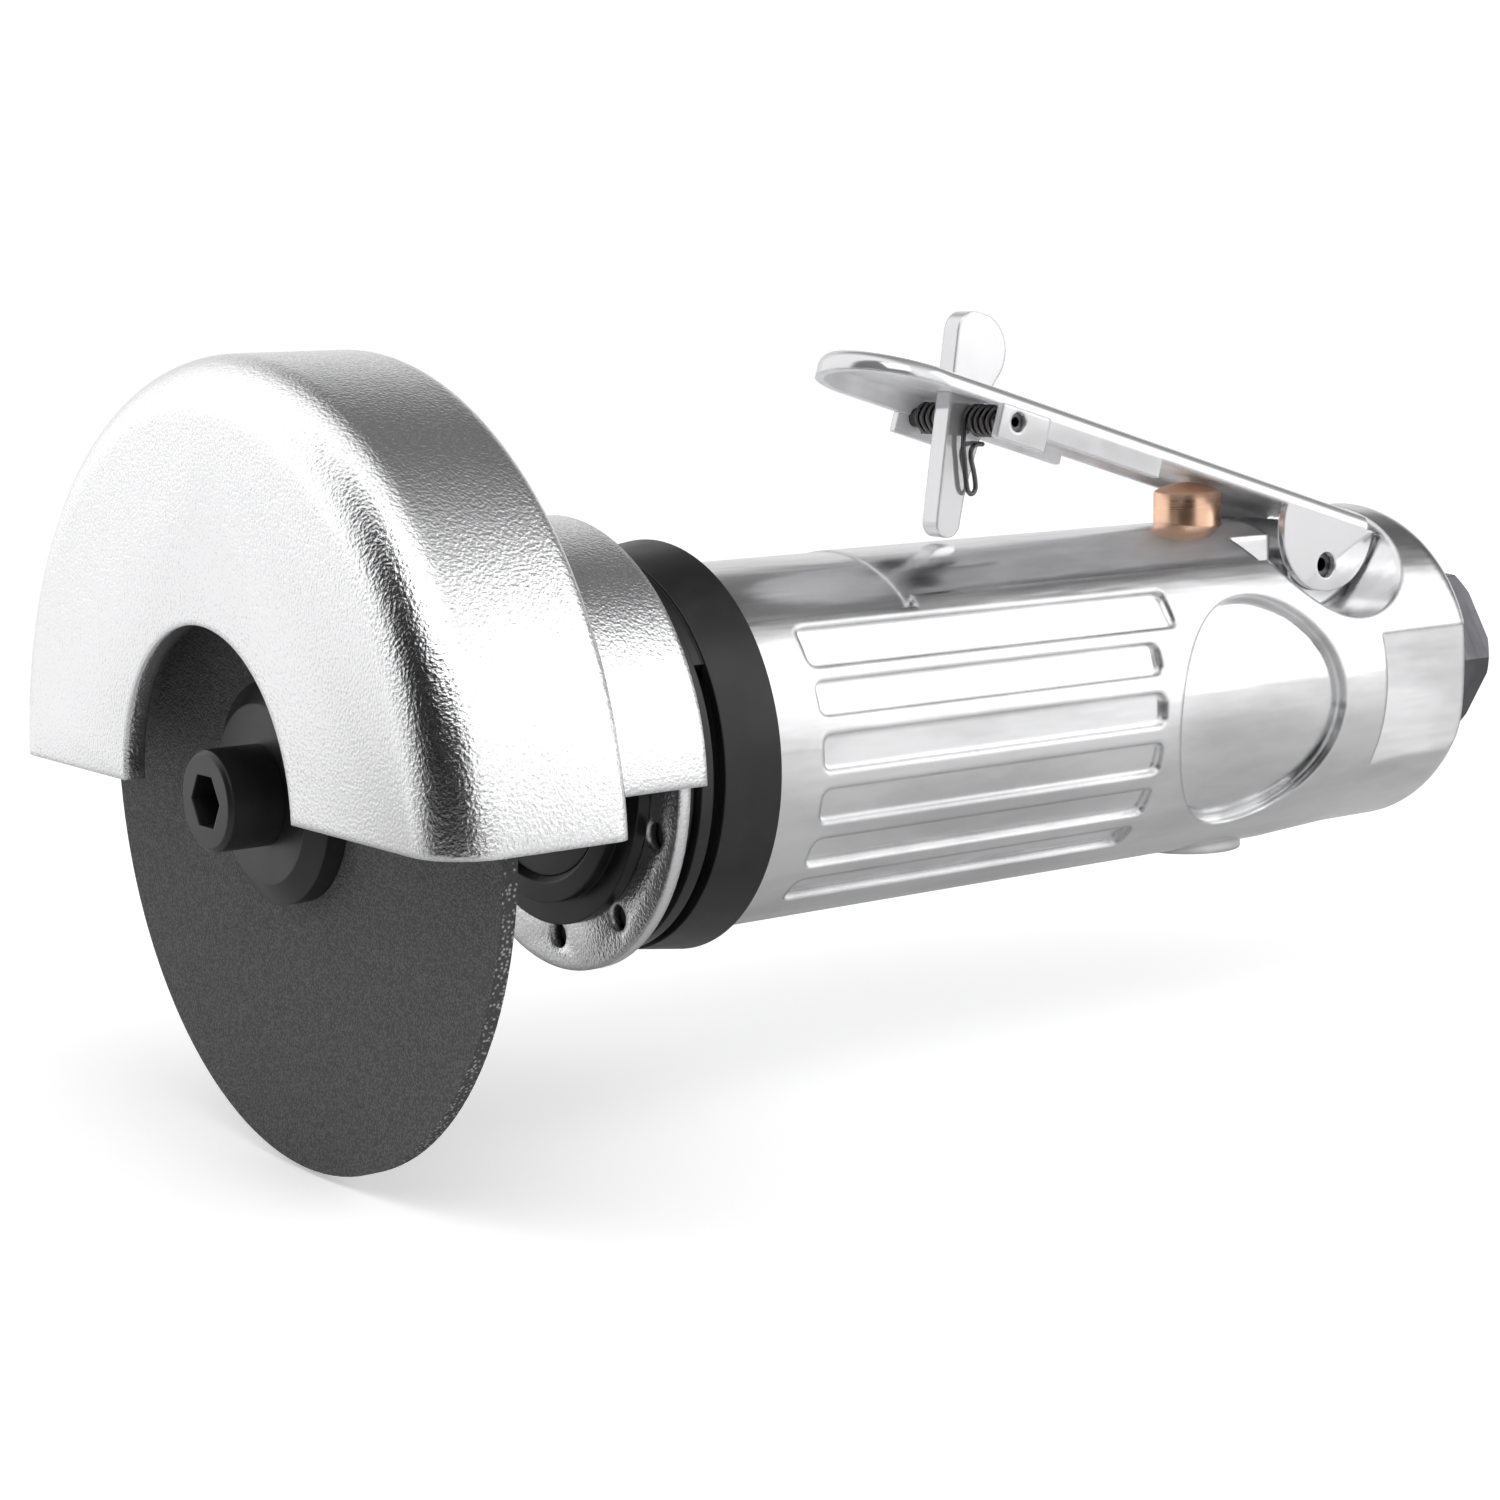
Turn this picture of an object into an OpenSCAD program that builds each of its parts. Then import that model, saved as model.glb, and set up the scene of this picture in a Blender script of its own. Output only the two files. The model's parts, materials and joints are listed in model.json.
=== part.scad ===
// Air driven cut-off grinder with a straight body, a half-round guard and a top lever.
// The tool's axis lies along X, the wheel is at the -X end and the air inlet's mouth is the origin.

/* [Housing] */
// Diameter of the grip
body_d = 40.2; // [40:0.1:44]
// Length of the housing between its end faces
body_len = 108.7; // [107:0.1:116]
// Diameter of the rear end of the housing
body_rear_d = 39; // [37.5:0.1:39.8]
// Rounding of the rear edge
body_rear_round = 3.5; // [1:0.1:4]
// Distance of the valve axis in front of the rear face
valve_setback = 30.6; // [29.6:0.1:30.8]
// Diameter of the boss under the valve
boss_d = 13.2; // [12.4:0.1:15]
// Depth of the boss below the tool's axis
boss_drop = 20.3; // [20.2:0.1:22]
// Depth of the land under the lever
land_depth = 1.1; // [0.7:0.1:1.2]
// Depth of the lower land at the front
front_land_depth = 1.25; // [1.1:0.05:1.5]
// Length of the lower land at the front
front_land_len = 23.9; // [18:0.1:26]
// Diameter of the round recess on each side
side_recess_d = 26.7; // [20:0.2:27]
// Depth of the round recesses
side_recess_depth = 1.2; // [0.4:0.1:1.4]
// Distance between the wrench flats
flats_w = 34; // [33:0.1:36]
// Length of the wrench flats
flats_len = 16.9; // [12:0.1:18]

/* [Flutes] */
// Number of grip flutes on each side
flute_count = 6; // [3:1:6]
// Angle between neighbouring flutes
flute_pitch = 16.2; // [15:0.1:17]
// Length of a flute
flute_len = 48.5; // [30:0.1:49]
// Length of the top flute
top_flute_len = 52.4; // [30:0.1:56]
// Width of a flute
flute_w = 3.7; // [2.5:0.1:4]
// Width of the top flute
top_flute_w = 4.6; // [2.5:0.1:4.8]
// Depth of a flute
flute_depth = 0.8; // [0.3:0.05:1]

/* [Motor] */
// Wall between the grip's surface and the motor bore
housing_wall = 2.6; // [2.3:0.1:2.8]
// Deepest gap between the rotor and the liner's bore
chamber_depth = 3; // [2.8:0.1:4]
// Length of the rotor chamber
liner_len = 44; // [40:0.1:44.5]
// Mean wall of the liner
liner_wall = 3.2; // [3.1:0.1:3.5]
// Number of vanes
vane_count = 5; // [4:1:6]
// Thickness of a vane
vane_t = 2; // [1.5:0.1:2.5]
// Diameter of the shaft inside the rotor
shaft_d = 10; // [9:0.1:11]

/* [Bearings] */
// Bore of the front bearing
front_bearing_bore = 12; // [11.6:0.1:12.4]
// Outer diameter of the front bearing
front_bearing_d = 28; // [27.6:0.1:28.4]
// Width of the front bearing
front_bearing_w = 8; // [7:0.1:9]
// Bore of the rear bearing
rear_bearing_bore = 8; // [7.6:0.1:8.2]
// Outer diameter of the rear bearing
rear_bearing_d = 22; // [21.8:0.1:22.4]
// Width of the rear bearing
rear_bearing_w = 7; // [6.4:0.1:7.2]

/* [Nose] */
// Length of the black exhaust collar
collar_len = 6.4; // [6:0.1:8]
// Diameter of the collar at its front edge
collar_front_d = 41.8; // [41.2:0.1:44]
// Diameter of the collar at its rear edge
collar_rear_d = 43.5; // [42:0.1:46]
// Width of the exhaust slit
slit_w = 1.4; // [0.8:0.1:2]
// Angle of the slit's end above the horizontal
slit_end_angle = 31.6; // [10:0.1:60]
// Length of the front cap's flange
cap_len = 3.8; // [3:0.1:5]
// Diameter of the front cap's flange
cap_d = 41.6; // [41:0.1:42]
// Diameter of the threaded nose
nose_d = 24; // [23.4:0.1:25]

/* [Wheel] */
// Diameter of the cutting wheel
wheel_d = 76; // [50:1:77]
// Thickness of the cutting wheel
wheel_t = 1.6; // [1:0.1:3]
// Diameter of the wheel's bore
wheel_bore_d = 9.53; // [9:0.01:10.5]
// Diameter of the wheel flanges
flange_d = 21.9; // [18:0.1:26]
// Thickness of the front flange
flange_t = 3.5; // [2.5:0.1:5]
// Diameter of the clamp screw's head
screw_head_d = 10; // [9:0.1:12]
// Height of the clamp screw's head
screw_head_h = 5.9; // [4:0.1:6.5]
// Width across flats of the screw's socket
screw_socket_w = 5; // [4:0.1:6]
// Diameter of the arbor behind the wheel
arbor_d = 17; // [14:0.1:17.6]
// Distance from the guard nut to the wheel
arbor_reach = 26.4; // [25:0.1:30]

/* [Guard] */
// Distance from the wheel's rim to the inside of the guard
guard_gap = 4.1; // [3:0.1:7]
// Drop of the guard's centre below the tool's axis
guard_drop = 1.8; // [0:0.1:3]
// Width of the guard's rim along the axis
guard_w = 19.6; // [18:0.1:22]
// Wall thickness of the guard
guard_wall = 2.2; // [1.5:0.1:2.6]
// Distance from the guard's front face to the wheel
guard_front_gap = 9.5; // [8:0.1:11]
// Rounding of the guard's front edge
guard_front_round = 5.8; // [4:0.1:9]
// Rounding of the guard's rear edge
guard_rear_round = 2; // [0.5:0.1:4]
// Outer diameter of the guard's neck
guard_neck_d = 50; // [48:0.5:54]
// Diameter of the arch in the guard's front wall
arch_d = 34; // [28:0.5:40]
// Diameter of the clamp disc
disc_d = 44.4; // [43:0.1:46]
// Thickness of the clamp disc
disc_t = 1.25; // [1:0.05:1.6]
// Number of index holes in the clamp disc
index_count = 10; // [6:1:12]
// Diameter of the index holes
index_hole_d = 2.8; // [1.5:0.1:3.2]
// Diameter of the circle of index holes
index_circle_d = 37.4; // [37:0.1:39]
// Diameter of the nut's flange
nut_flange_d = 34.4; // [32:0.1:34.6]
// Diameter of the nut's sleeve
nut_sleeve_d = 29.5; // [28:0.1:31]

/* [Lever] */
// Angle of the lever at rest
lever_angle = 16.6; // [16:0.1:17]
// Distance of the lever's pivot in front of the rear face
pivot_setback = 16.1; // [15.8:0.1:16.5]
// Height of the lever's pivot above the axis
pivot_h = 13.3; // [13:0.05:13.6]
// Length of the lever from its pivot to its tip
lever_reach = 72.5; // [70:0.5:84]
// Width of the lever
lever_w = 18; // [17.8:0.1:20]
// Thickness of the lever's sheet metal
lever_t = 1; // [0.95:0.05:1.1]
// Height of the lever's top above its pivot
lever_top = 7.4; // [7.35:0.05:7.6]
// Outer radius of the lever's bends
lever_bend = 1.7; // [1.4:0.1:1.9]
// Depth of the lever's wall on the +Y side
paddle_wall_h = 3.2; // [2.4:0.1:4]
// Depth of the lever's side wall behind the catch
lever_wall_h = 4; // [2.5:0.1:4.1]
// Diameter of the lever's pin
lever_pin_d = 3; // [2.6:0.1:3.4]
// Diameter of the plunger
plunger_d = 8; // [7:0.1:8.1]
// Height of the plunger's shoulder above the axis
plunger_h = 22.5; // [22:0.05:22.55]
// Height of the plunger's domed end
plunger_dome = 1.1; // [0.8:0.05:1.15]

/* [Catch] */
// Distance of the catch's pin in front of the lever's pivot
catch_ahead = 53; // [51:0.1:54]
// Height of the catch's pin above the lever's pivot, square to the lever
catch_up = 4.2; // [4.1:0.05:4.35]
// Thickness of the catch
catch_t = 2.5; // [2:0.1:2.6]
// Forward lean of the catch at rest
catch_lean = 8.9; // [8.4:0.1:10]
// Distance from the catch's pin to the middle of its rounded tip
catch_leg = 11.7; // [10.6:0.1:11.8]
// Diameter of the catch's pin
catch_pin_d = 2.2; // [2:0.1:2.3]
// Diameter of the catch spring's wire
catch_wire_d = 0.55; // [0.4:0.01:0.56]
// Pitch of the catch spring's turns
catch_wire_pitch = 1; // [1:0.01:1.05]

/* [Air inlet] */
// Length of the inlet bushing outside the housing
bush_proud = 12.2; // [10:0.1:14]
// Width across flats of the inlet bushing
bush_w = 19.8; // [19:0.1:22]
// Diameter of the bushing's screwed part
bush_spigot_d = 16; // [15:0.1:16.6]
// Length of the bushing's screwed part
bush_spigot_len = 14; // [12:0.1:15]
// Diameter of the hose thread's bore
inlet_bore_d = 11.2; // [10:0.1:11.8]
// Depth of the hose thread's bore
inlet_bore_len = 12; // [10:0.1:13]

/* [Hidden] */
$fn = 96;

// Clearances: pieces that are pressed or screwed, that run on each other, and that stay apart
seat_gap = 0.03;
run_gap = 0.06;
free_gap = 0.3;
cut = 1;

// Radii of the housing
body_r = body_d / 2;
body_rear_r = body_rear_d / 2;
motor_bore_r = body_r - housing_wall;
recess_floor_r = body_r - side_recess_depth;
land_r = body_r - land_depth;
front_land_r = body_r - front_land_depth;
flute_floor_r = body_r - flute_depth;

// Stations along the axis, from the inlet's mouth towards the wheel
x_rear = -bush_proud;
x_front = x_rear - body_len;
x_valve = x_rear - valve_setback;
x_pivot = x_rear - pivot_setback;
x_collar = x_front - collar_len;
x_cap_rear = x_collar - slit_w;
x_cap = x_cap_rear - cap_len;
guard_play = 0.05;
x_disc_rear = x_cap - guard_play;
x_disc = x_disc_rear - disc_t;
nut_flange_t = 1.35;
nut_sleeve_len = 1.3;
x_nut_rear = x_disc - guard_play;
x_nut_step = x_nut_rear - nut_flange_t;
x_nut = x_nut_step - nut_sleeve_len;
x_nose = x_nut + 0.6;
x_wheel_rear = x_nut - arbor_reach;
x_wheel = x_wheel_rear - wheel_t;
x_flange = x_wheel - flange_t;
x_screw = x_flange - screw_head_h;
x_guard = x_wheel - guard_front_gap;
x_guard_rear = x_guard + guard_w;

// Stations of the motor, counted from the housing's front face
cap_spigot_in = 9.4;
end_plate_t = 4;
rear_plate_t = 3;
x_stack = x_front + cap_spigot_in;
x_liner = x_stack + end_plate_t;
x_liner_rear = x_liner + liner_len;
x_rear_bearing = x_liner_rear + rear_plate_t;
x_rear_bearing_end = x_rear_bearing + rear_bearing_w;
x_bore_floor = x_rear_bearing_end + 1.5;
x_front_bearing = x_cap_rear + 2.2;
x_front_bearing_end = x_front_bearing + front_bearing_w;

// Motor pieces
rotor_gap = 0.2;
liner_r = motor_bore_r - 0.1;
liner_bore_r = liner_r - liner_wall;
liner_offset = (chamber_depth - rotor_gap) / 2;
rotor_r = liner_bore_r - liner_offset - rotor_gap;
rotor_end_gap = 0.3;
slot_depth = 6.2;
shaft_r = shaft_d / 2;
arbor_r = arbor_d / 2;
front_journal_r = front_bearing_bore / 2;
rear_journal_r = rear_bearing_bore / 2;
locating_pin_r = 1.5;
locating_pin_h = -(liner_r + liner_bore_r - liner_offset) / 2;

// Valve stack on the valve's vertical axis
valve_bore_r = 5.2;
plunger_r = plunger_d / 2;
plug_top = -14.6;
seat_low = 4.5;
seat_top = 8;
plunger_low = 13;
port_r = 2.1;
port_h = seat_top + port_r + 0.1;
head_t = 2.4;
stem_r = 1.4;
lift_gap = 0.05;

// Lever and catch
lever_half = lever_w / 2;
lever_in = lever_half - lever_t;
lever_under = lever_top - lever_t;
pin_r = lever_pin_d / 2;
catch_pin_r = catch_pin_d / 2;
catch_half = catch_t / 2;
x_catch = x_pivot - catch_ahead * cos(lever_angle) + catch_up * sin(lever_angle);
z_catch = pivot_h + catch_ahead * sin(lever_angle) + catch_up * cos(lever_angle);
bush_r = bush_w / 2;
spigot_r = bush_spigot_d / 2;
inlet_r = inlet_bore_d / 2;

// A plain rod along X from x0 to x1
module rod_x(x0, x1, r) {
    translate([x0, 0, 0]) rotate([0, 90, 0]) cylinder(h = x1 - x0, r = r);
}

// A tube along X
module tube_x(x0, x1, r_out, r_in) {
    difference() {
        rod_x(x0, x1, r_out);
        rod_x(x0 - cut, x1 + cut, r_in);
    }
}

// A rod along Y, through the point x, z, reaching from y0 to y1
module rod_y(x, z, y0, y1, r) {
    translate([x, y1, z]) rotate([90, 0, 0]) cylinder(h = y1 - y0, r = r);
}

// A rod along Z on the valve's axis
module valve_rod(z0, z1, r) {
    translate([x_valve, 0, z0]) cylinder(h = z1 - z0, r = r);
}

// Turns a profile about the X axis: the profile's X is the radius, its Y is the station
module turned() {
    rotate([0, 90, 0]) rotate_extrude() children();
}

// A box between two corners
module block(low, high) {
    translate(low) cube(high - low);
}

// A wedge about +Z that opens by the given half angle, between two stations
module top_wedge(x0, x1, half_angle) {
    far = 2 * body_r;
    side = far * tan(half_angle);
    translate([x0, 0, 0]) rotate([90, 0, 90]) linear_extrude(x1 - x0)
        polygon([[0, 0], [side, far], [-side, far]]);
}

// Outer form of the housing
module housing_blank() {
    taper0 = x_rear - 24.3;
    taper1 = x_rear - 12.3;
    turned() {
        translate([0, x_front]) square([body_r, taper0 - x_front]);
        polygon([[0, taper0], [body_r, taper0], [body_rear_r, taper1], [0, taper1]]);
        translate([0, taper1]) square([body_rear_r, x_rear - body_rear_round - taper1]);
        translate([0, taper1]) square([body_rear_r - body_rear_round, x_rear - taper1]);
        translate([body_rear_r - body_rear_round, x_rear - body_rear_round])
            circle(body_rear_round, $fn = 48);
    }
}

// The cut that leaves a land of radius r on top of the housing
module land_cut(x0, x1, r, half_angle) {
    difference() {
        top_wedge(x0, x1, half_angle);
        rod_x(x0 - cut, x1 + cut, r);
    }
}

// Plan of a flute: a box with rounded corners
module flute_plan(length, width) {
    corner = 1.1;
    translate([0, corner - width / 2]) square([length, width - 2 * corner]);
    translate([corner, -width / 2]) square([length - 2 * corner, width]);
    for (x = [corner, length - corner])
        for (y = [corner - width / 2, width / 2 - corner])
            translate([x, y]) circle(corner, $fn = 32);
}

// The flutes of one side, side = -1 for the side at -Y
module flutes(side) {
    first_angle = 34.2;
    flute_start = 6.8;
    for (i = [0 : flute_count - 1])
        rotate([side * (first_angle - i * flute_pitch), 0, 0])
            translate([x_front + flute_start, side * flute_floor_r, 0])
            rotate([side * -90, 0, 0])
            linear_extrude(2 * flute_depth)
            flute_plan(i == 0 ? top_flute_len : flute_len, i == 0 ? top_flute_w : flute_w);
}

// The shallow round recess of one side
module side_recess(side) {
    recess_setback = 37.7;
    recess_drop = 1.5;
    difference() {
        rod_y(x_rear - recess_setback, -recess_drop, side < 0 ? -body_r - cut : 0,
            side < 0 ? 0 : body_r + cut, side_recess_d / 2);
        rod_x(x_rear - 2 * recess_setback, x_rear, recess_floor_r);
    }
}

// Pocket round the lever's ears and behind its pivot
module lever_pocket() {
    pocket_r = 12.6;
    pocket_x = x_pivot - 3;
    pocket_h = pivot_h + 7.3;
    lug_half = lever_in - free_gap;
    difference() {
        rod_y(pocket_x, pocket_h, -body_d, body_d, pocket_r);
        block([x_pivot - 2 * pocket_r, -lug_half, 0], [x_pivot - 8.5, lug_half, body_d]);
        rod_y(x_pivot, pivot_h, -lug_half, lug_half, lug_r);
        block([x_pivot - lug_r, -lug_half, 0], [x_pivot + lug_r, lug_half, pivot_h]);
    }
}
lug_r = 5;

module motor_housing() {
    x_land = x_front + front_land_len;
    color("silver") difference() {
        union() {
            difference() {
                housing_blank();
                land_cut(x_front - cut, x_land + 0.1, front_land_r, 45.8);
                land_cut(x_land, x_pivot - 0.8, land_r, 41);
                for (side = [-1, 1]) flutes(side);
                for (side = [-1, 1]) side_recess(side);
                for (side = [-1, 1])
                    scale([1, side, 1])
                        block([x_rear - flats_len, flats_w / 2, -11], [x_rear + cut, body_r + cut, 5.8]);
                lever_pocket();
            }
            valve_rod(-boss_drop, -body_r / 2, boss_d / 2);
        }
        // Motor bore and the exhaust channel under it
        rod_x(x_front - cut, x_bore_floor, motor_bore_r);
        exhaust_channel(x_front - cut, x_front + 22);
        // Valve bores, plunger guide, motor port and inlet passage
        valve_rod(-boss_drop - cut, seat_top, valve_bore_r);
        valve_rod(seat_top - cut, body_r + cut, plunger_r + 0.05);
        translate([0, 0, port_h]) rod_x(x_bore_floor - cut, x_valve, port_r);
        rod_x(x_valve, x_rear, 4.4);
        rod_x(x_rear - bush_spigot_len - screen_t, x_rear + cut, spigot_r + seat_gap);
        rod_x(x_rear - seal_t, x_rear + cut, seal_r + seat_gap);
        rod_y(x_pivot, pivot_h, -body_r, body_r, pin_r);
    }
}
screen_t = 0.9;
seal_t = 1.2;
seal_r = spigot_r + 1.3;

// Channel in the bottom of the motor bore that leads the spent air forwards
module exhaust_channel(x0, x1) {
    block([x0, -5, -motor_bore_r - 1.2], [x1, 5, 0]);
}

module exhaust_collar() {
    chamber_r = collar_front_d / 2 - 1.2;
    chamber_len = collar_len - 1.8;
    color("dimgray") difference() {
        union() {
            turned() polygon([[0, x_collar], [collar_front_d / 2, x_collar],
                [collar_rear_d / 2, x_front], [0, x_front]]);
            // Web that closes the top of the exhaust slit
            intersection() {
                rod_x(x_cap_rear, x_front, cap_d / 2 - 0.2);
                top_wedge(x_cap_rear, x_front, 90 - slit_end_angle);
            }
        }
        rod_x(x_cap_rear - cut, x_front + cut, motor_bore_r);
        difference() {
            tube_x(x_collar - cut, x_collar + chamber_len, chamber_r, motor_bore_r - cut);
            top_wedge(x_cap_rear - cut, x_front, 90 - slit_end_angle);
        }
        exhaust_channel(x_collar, x_front + cut);
    }
}

module muffler_ring() {
    color("gray") difference() {
        tube_x(x_collar + 1, x_collar + collar_len - 2, collar_front_d / 2 - 1.4, motor_bore_r + 0.1);
        top_wedge(x_collar, x_front, 91 - slit_end_angle);
    }
}

module front_cap() {
    groove_x = x_cap + 1.9;
    color("dimgray") difference() {
        union() {
            rod_x(x_nose, x_cap, nose_d / 2);
            rod_x(x_cap, groove_x + 0.5, cap_d / 2 - 0.7);
            rod_x(groove_x, x_cap_rear, cap_d / 2 - 1.3);
            rod_x(groove_x + 0.5, x_cap_rear, cap_d / 2);
            rod_x(x_cap_rear - cut, x_stack, motor_bore_r - 0.05);
        }
        tube_x(groove_x, groove_x + 0.5, cap_d, cap_d / 2 - 1.5);
        rod_x(x_nose - cut, x_stack, arbor_r + free_gap);
        rod_x(x_front_bearing - 3.2, x_stack, nose_seal_r + seat_gap);
        rod_x(x_front_bearing, x_stack + cut, front_bearing_d / 2 + seat_gap);
    }
}
nose_seal_r = arbor_r + 2.9;

module nose_seal() {
    color("black") tube_x(x_front_bearing - 3.2, x_front_bearing - 0.4, nose_seal_r, arbor_r + run_gap);
}

module bearing_spacer() {
    color("silver") tube_x(x_front_bearing_end, x_stack, front_bearing_d / 2, front_bearing_d / 2 - 2.2);
}

// Hole for the pin that keeps the end plates and the liner in line
module locating_hole(x0, x1) {
    translate([0, 0, locating_pin_h]) rod_x(x0, x1, locating_pin_r + seat_gap);
}

module front_end_plate() {
    color("silver") difference() {
        rod_x(x_stack, x_liner, liner_r);
        rod_x(x_stack - cut, x_liner + cut, shaft_r + 0.6);
        locating_hole(x_liner - 3, x_liner + cut);
    }
}

module cylinder_liner() {
    port_rows = 5;
    port_step = liner_len / (port_rows + 3);
    color("slategray") difference() {
        rod_x(x_liner, x_liner_rear, liner_r);
        translate([0, 0, liner_offset]) rod_x(x_liner - cut, x_liner_rear + cut, liner_bore_r);
        locating_hole(x_liner - cut, x_liner_rear + cut);
        // Exhaust ports on both sides of the pin
        for (i = [1 : port_rows])
            for (y = [-4, 4])
                translate([x_liner + i * port_step, y, -liner_r - cut]) cylinder(h = liner_r, r = 1.2);
    }
}

module rear_end_plate() {
    boss_r = rear_bearing_d / 2 + 3;
    color("silver") difference() {
        union() {
            rod_x(x_liner_rear, x_rear_bearing, liner_r);
            rod_x(x_rear_bearing - cut, x_rear_bearing_end, boss_r);
        }
        rod_x(x_liner_rear - cut, x_rear_bearing, shaft_r + 0.6);
        rod_x(x_rear_bearing, x_rear_bearing_end + cut, rear_bearing_d / 2 + seat_gap);
        translate([0, 0, boss_r + 1.6]) rod_x(x_liner_rear - cut, x_rear_bearing_end, 1.2);
        locating_hole(x_liner_rear - cut, x_liner_rear + 2.5);
    }
}

module locating_pin() {
    color("gray") translate([0, 0, locating_pin_h])
        rod_x(x_liner - 2.9, x_liner_rear + 2.4, locating_pin_r);
}

// Pitch radius, ball radius and race shoulders of a bearing, from its bore and outer radius
function pitch_r(bore, outer) = (bore + outer) / 4;
function ball_r(bore, outer) = 0.149 * (outer - bore);

// Outer or inner race between two radii, with the ball groove cut into it
module race(x0, width, r_out, r_in, r_pitch, r_ball) {
    turned() difference() {
        translate([r_in, x0]) square([r_out - r_in, width]);
        translate([r_pitch, x0 + width / 2]) circle(r_ball + 0.05, $fn = 64);
    }
}

// Balls held in a thin ring
module ball_cage(x0, width, r_pitch, r_ball, count) {
    cage_w = r_ball * 0.7;
    cage_t = r_ball * 0.3;
    tube_x(x0 + width / 2 - cage_w, x0 + width / 2 + cage_w, r_pitch + cage_t, r_pitch - cage_t);
    for (i = [0 : count - 1])
        rotate([i * 360 / count, 0, 0])
            translate([x0 + width / 2, 0, r_pitch])
            sphere(r_ball, $fn = 48);
}

front_pitch_r = pitch_r(front_bearing_bore, front_bearing_d);
front_ball_r = ball_r(front_bearing_bore, front_bearing_d);
rear_pitch_r = pitch_r(rear_bearing_bore, rear_bearing_d);
rear_ball_r = ball_r(rear_bearing_bore, rear_bearing_d);
shoulder = 0.72;

module front_outer_race() {
    color("lightgray") race(x_front_bearing, front_bearing_w, front_bearing_d / 2,
        front_pitch_r + shoulder * front_ball_r, front_pitch_r, front_ball_r);
}

module front_inner_race() {
    color("lightgray") race(x_front_bearing, front_bearing_w, front_pitch_r - shoulder * front_ball_r,
        front_journal_r + seat_gap, front_pitch_r, front_ball_r);
}

module front_ball_cage() {
    color("gold") ball_cage(x_front_bearing, front_bearing_w, front_pitch_r, front_ball_r, 8);
}

module rear_outer_race() {
    color("lightgray") race(x_rear_bearing, rear_bearing_w, rear_bearing_d / 2,
        rear_pitch_r + shoulder * rear_ball_r, rear_pitch_r, rear_ball_r);
}

module rear_inner_race() {
    color("lightgray") race(x_rear_bearing, rear_bearing_w, rear_pitch_r - shoulder * rear_ball_r,
        rear_journal_r + seat_gap, rear_pitch_r, rear_ball_r);
}

module rear_ball_cage() {
    color("gold") ball_cage(x_rear_bearing, rear_bearing_w, rear_pitch_r, rear_ball_r, 7);
}

module rotor() {
    color("darkgray") difference() {
        rod_x(x_liner + rotor_end_gap, x_liner_rear - rotor_end_gap, rotor_r);
        rod_x(x_liner, x_liner_rear, shaft_r + seat_gap);
        for (i = [0 : vane_count - 1])
            rotate([i * 360 / vane_count, 0, 0])
                block([x_liner, -vane_t / 2 - seat_gap, rotor_r - slot_depth],
                    [x_liner_rear, vane_t / 2 + seat_gap, rotor_r + cut]);
    }
}

module rotor_vanes() {
    color("saddlebrown") for (i = [0 : vane_count - 1])
        rotate([i * 360 / vane_count, 0, 0])
            block([x_liner + rotor_end_gap, -vane_t / 2, rotor_r - slot_depth + 0.1],
                [x_liner_rear - rotor_end_gap, vane_t / 2, rotor_r - 0.1]);
}

rear_flange_t = 4;
pilot_r = wheel_bore_d / 2 - seat_gap;
pilot_out = 1;
screw_r = 3;
screw_in = 14;

module spindle() {
    x_shoulder = x_wheel_rear + rear_flange_t;
    x_end = x_rear_bearing_end + 1.1;
    color("darkslategray") difference() {
        union() {
            rod_x(x_wheel - pilot_out, x_shoulder, pilot_r);
            rod_x(x_shoulder, x_front_bearing, arbor_r);
            rod_x(x_front_bearing, x_front_bearing_end + 1, front_journal_r);
            rod_x(x_front_bearing_end, x_rear_bearing - 0.1, shaft_r);
            rod_x(x_rear_bearing - cut, x_end, rear_journal_r);
        }
        // Spanner flats on the arbor
        for (side = [-1, 1])
            scale([1, 1, side])
                block([x_shoulder + 2, -arbor_r, arbor_r - 1.6], [x_shoulder + 9, arbor_r, arbor_r + cut]);
        rod_x(x_wheel - pilot_out - cut, x_wheel + screw_in + 2, screw_r + seat_gap);
        tube_x(x_rear_bearing_end, x_rear_bearing_end + clip_t + seat_gap, rear_journal_r + cut, clip_r);
    }
}
clip_t = 0.6;
clip_r = rear_journal_r - 0.6;

module spindle_clip() {
    color("dimgray") difference() {
        tube_x(x_rear_bearing_end, x_rear_bearing_end + clip_t, rear_journal_r + 1.4, clip_r);
        block([x_rear_bearing_end - cut, 0, -1.6], [x_rear_bearing_end + cut, rear_bearing_d, 1.6]);
    }
}

module rear_flange() {
    color("dimgray") difference() {
        rod_x(x_wheel_rear, x_wheel_rear + rear_flange_t, flange_d / 2);
        rod_x(x_wheel, x_wheel_rear + rear_flange_t + cut, pilot_r + seat_gap);
    }
}

module cutting_wheel() {
    color("dimgray") tube_x(x_wheel, x_wheel_rear, wheel_d / 2, wheel_bore_d / 2);
}

module front_flange() {
    chamfer = 1.3;
    color("dimgray") difference() {
        turned() polygon([[0, x_flange], [flange_d / 2 - 2.1, x_flange], [flange_d / 2, x_flange + chamfer],
            [flange_d / 2, x_wheel], [0, x_wheel]]);
        rod_x(x_flange - cut, x_wheel, screw_r + 0.2);
        rod_x(x_wheel - pilot_out - 0.2, x_wheel + cut, pilot_r + seat_gap);
    }
}

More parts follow.
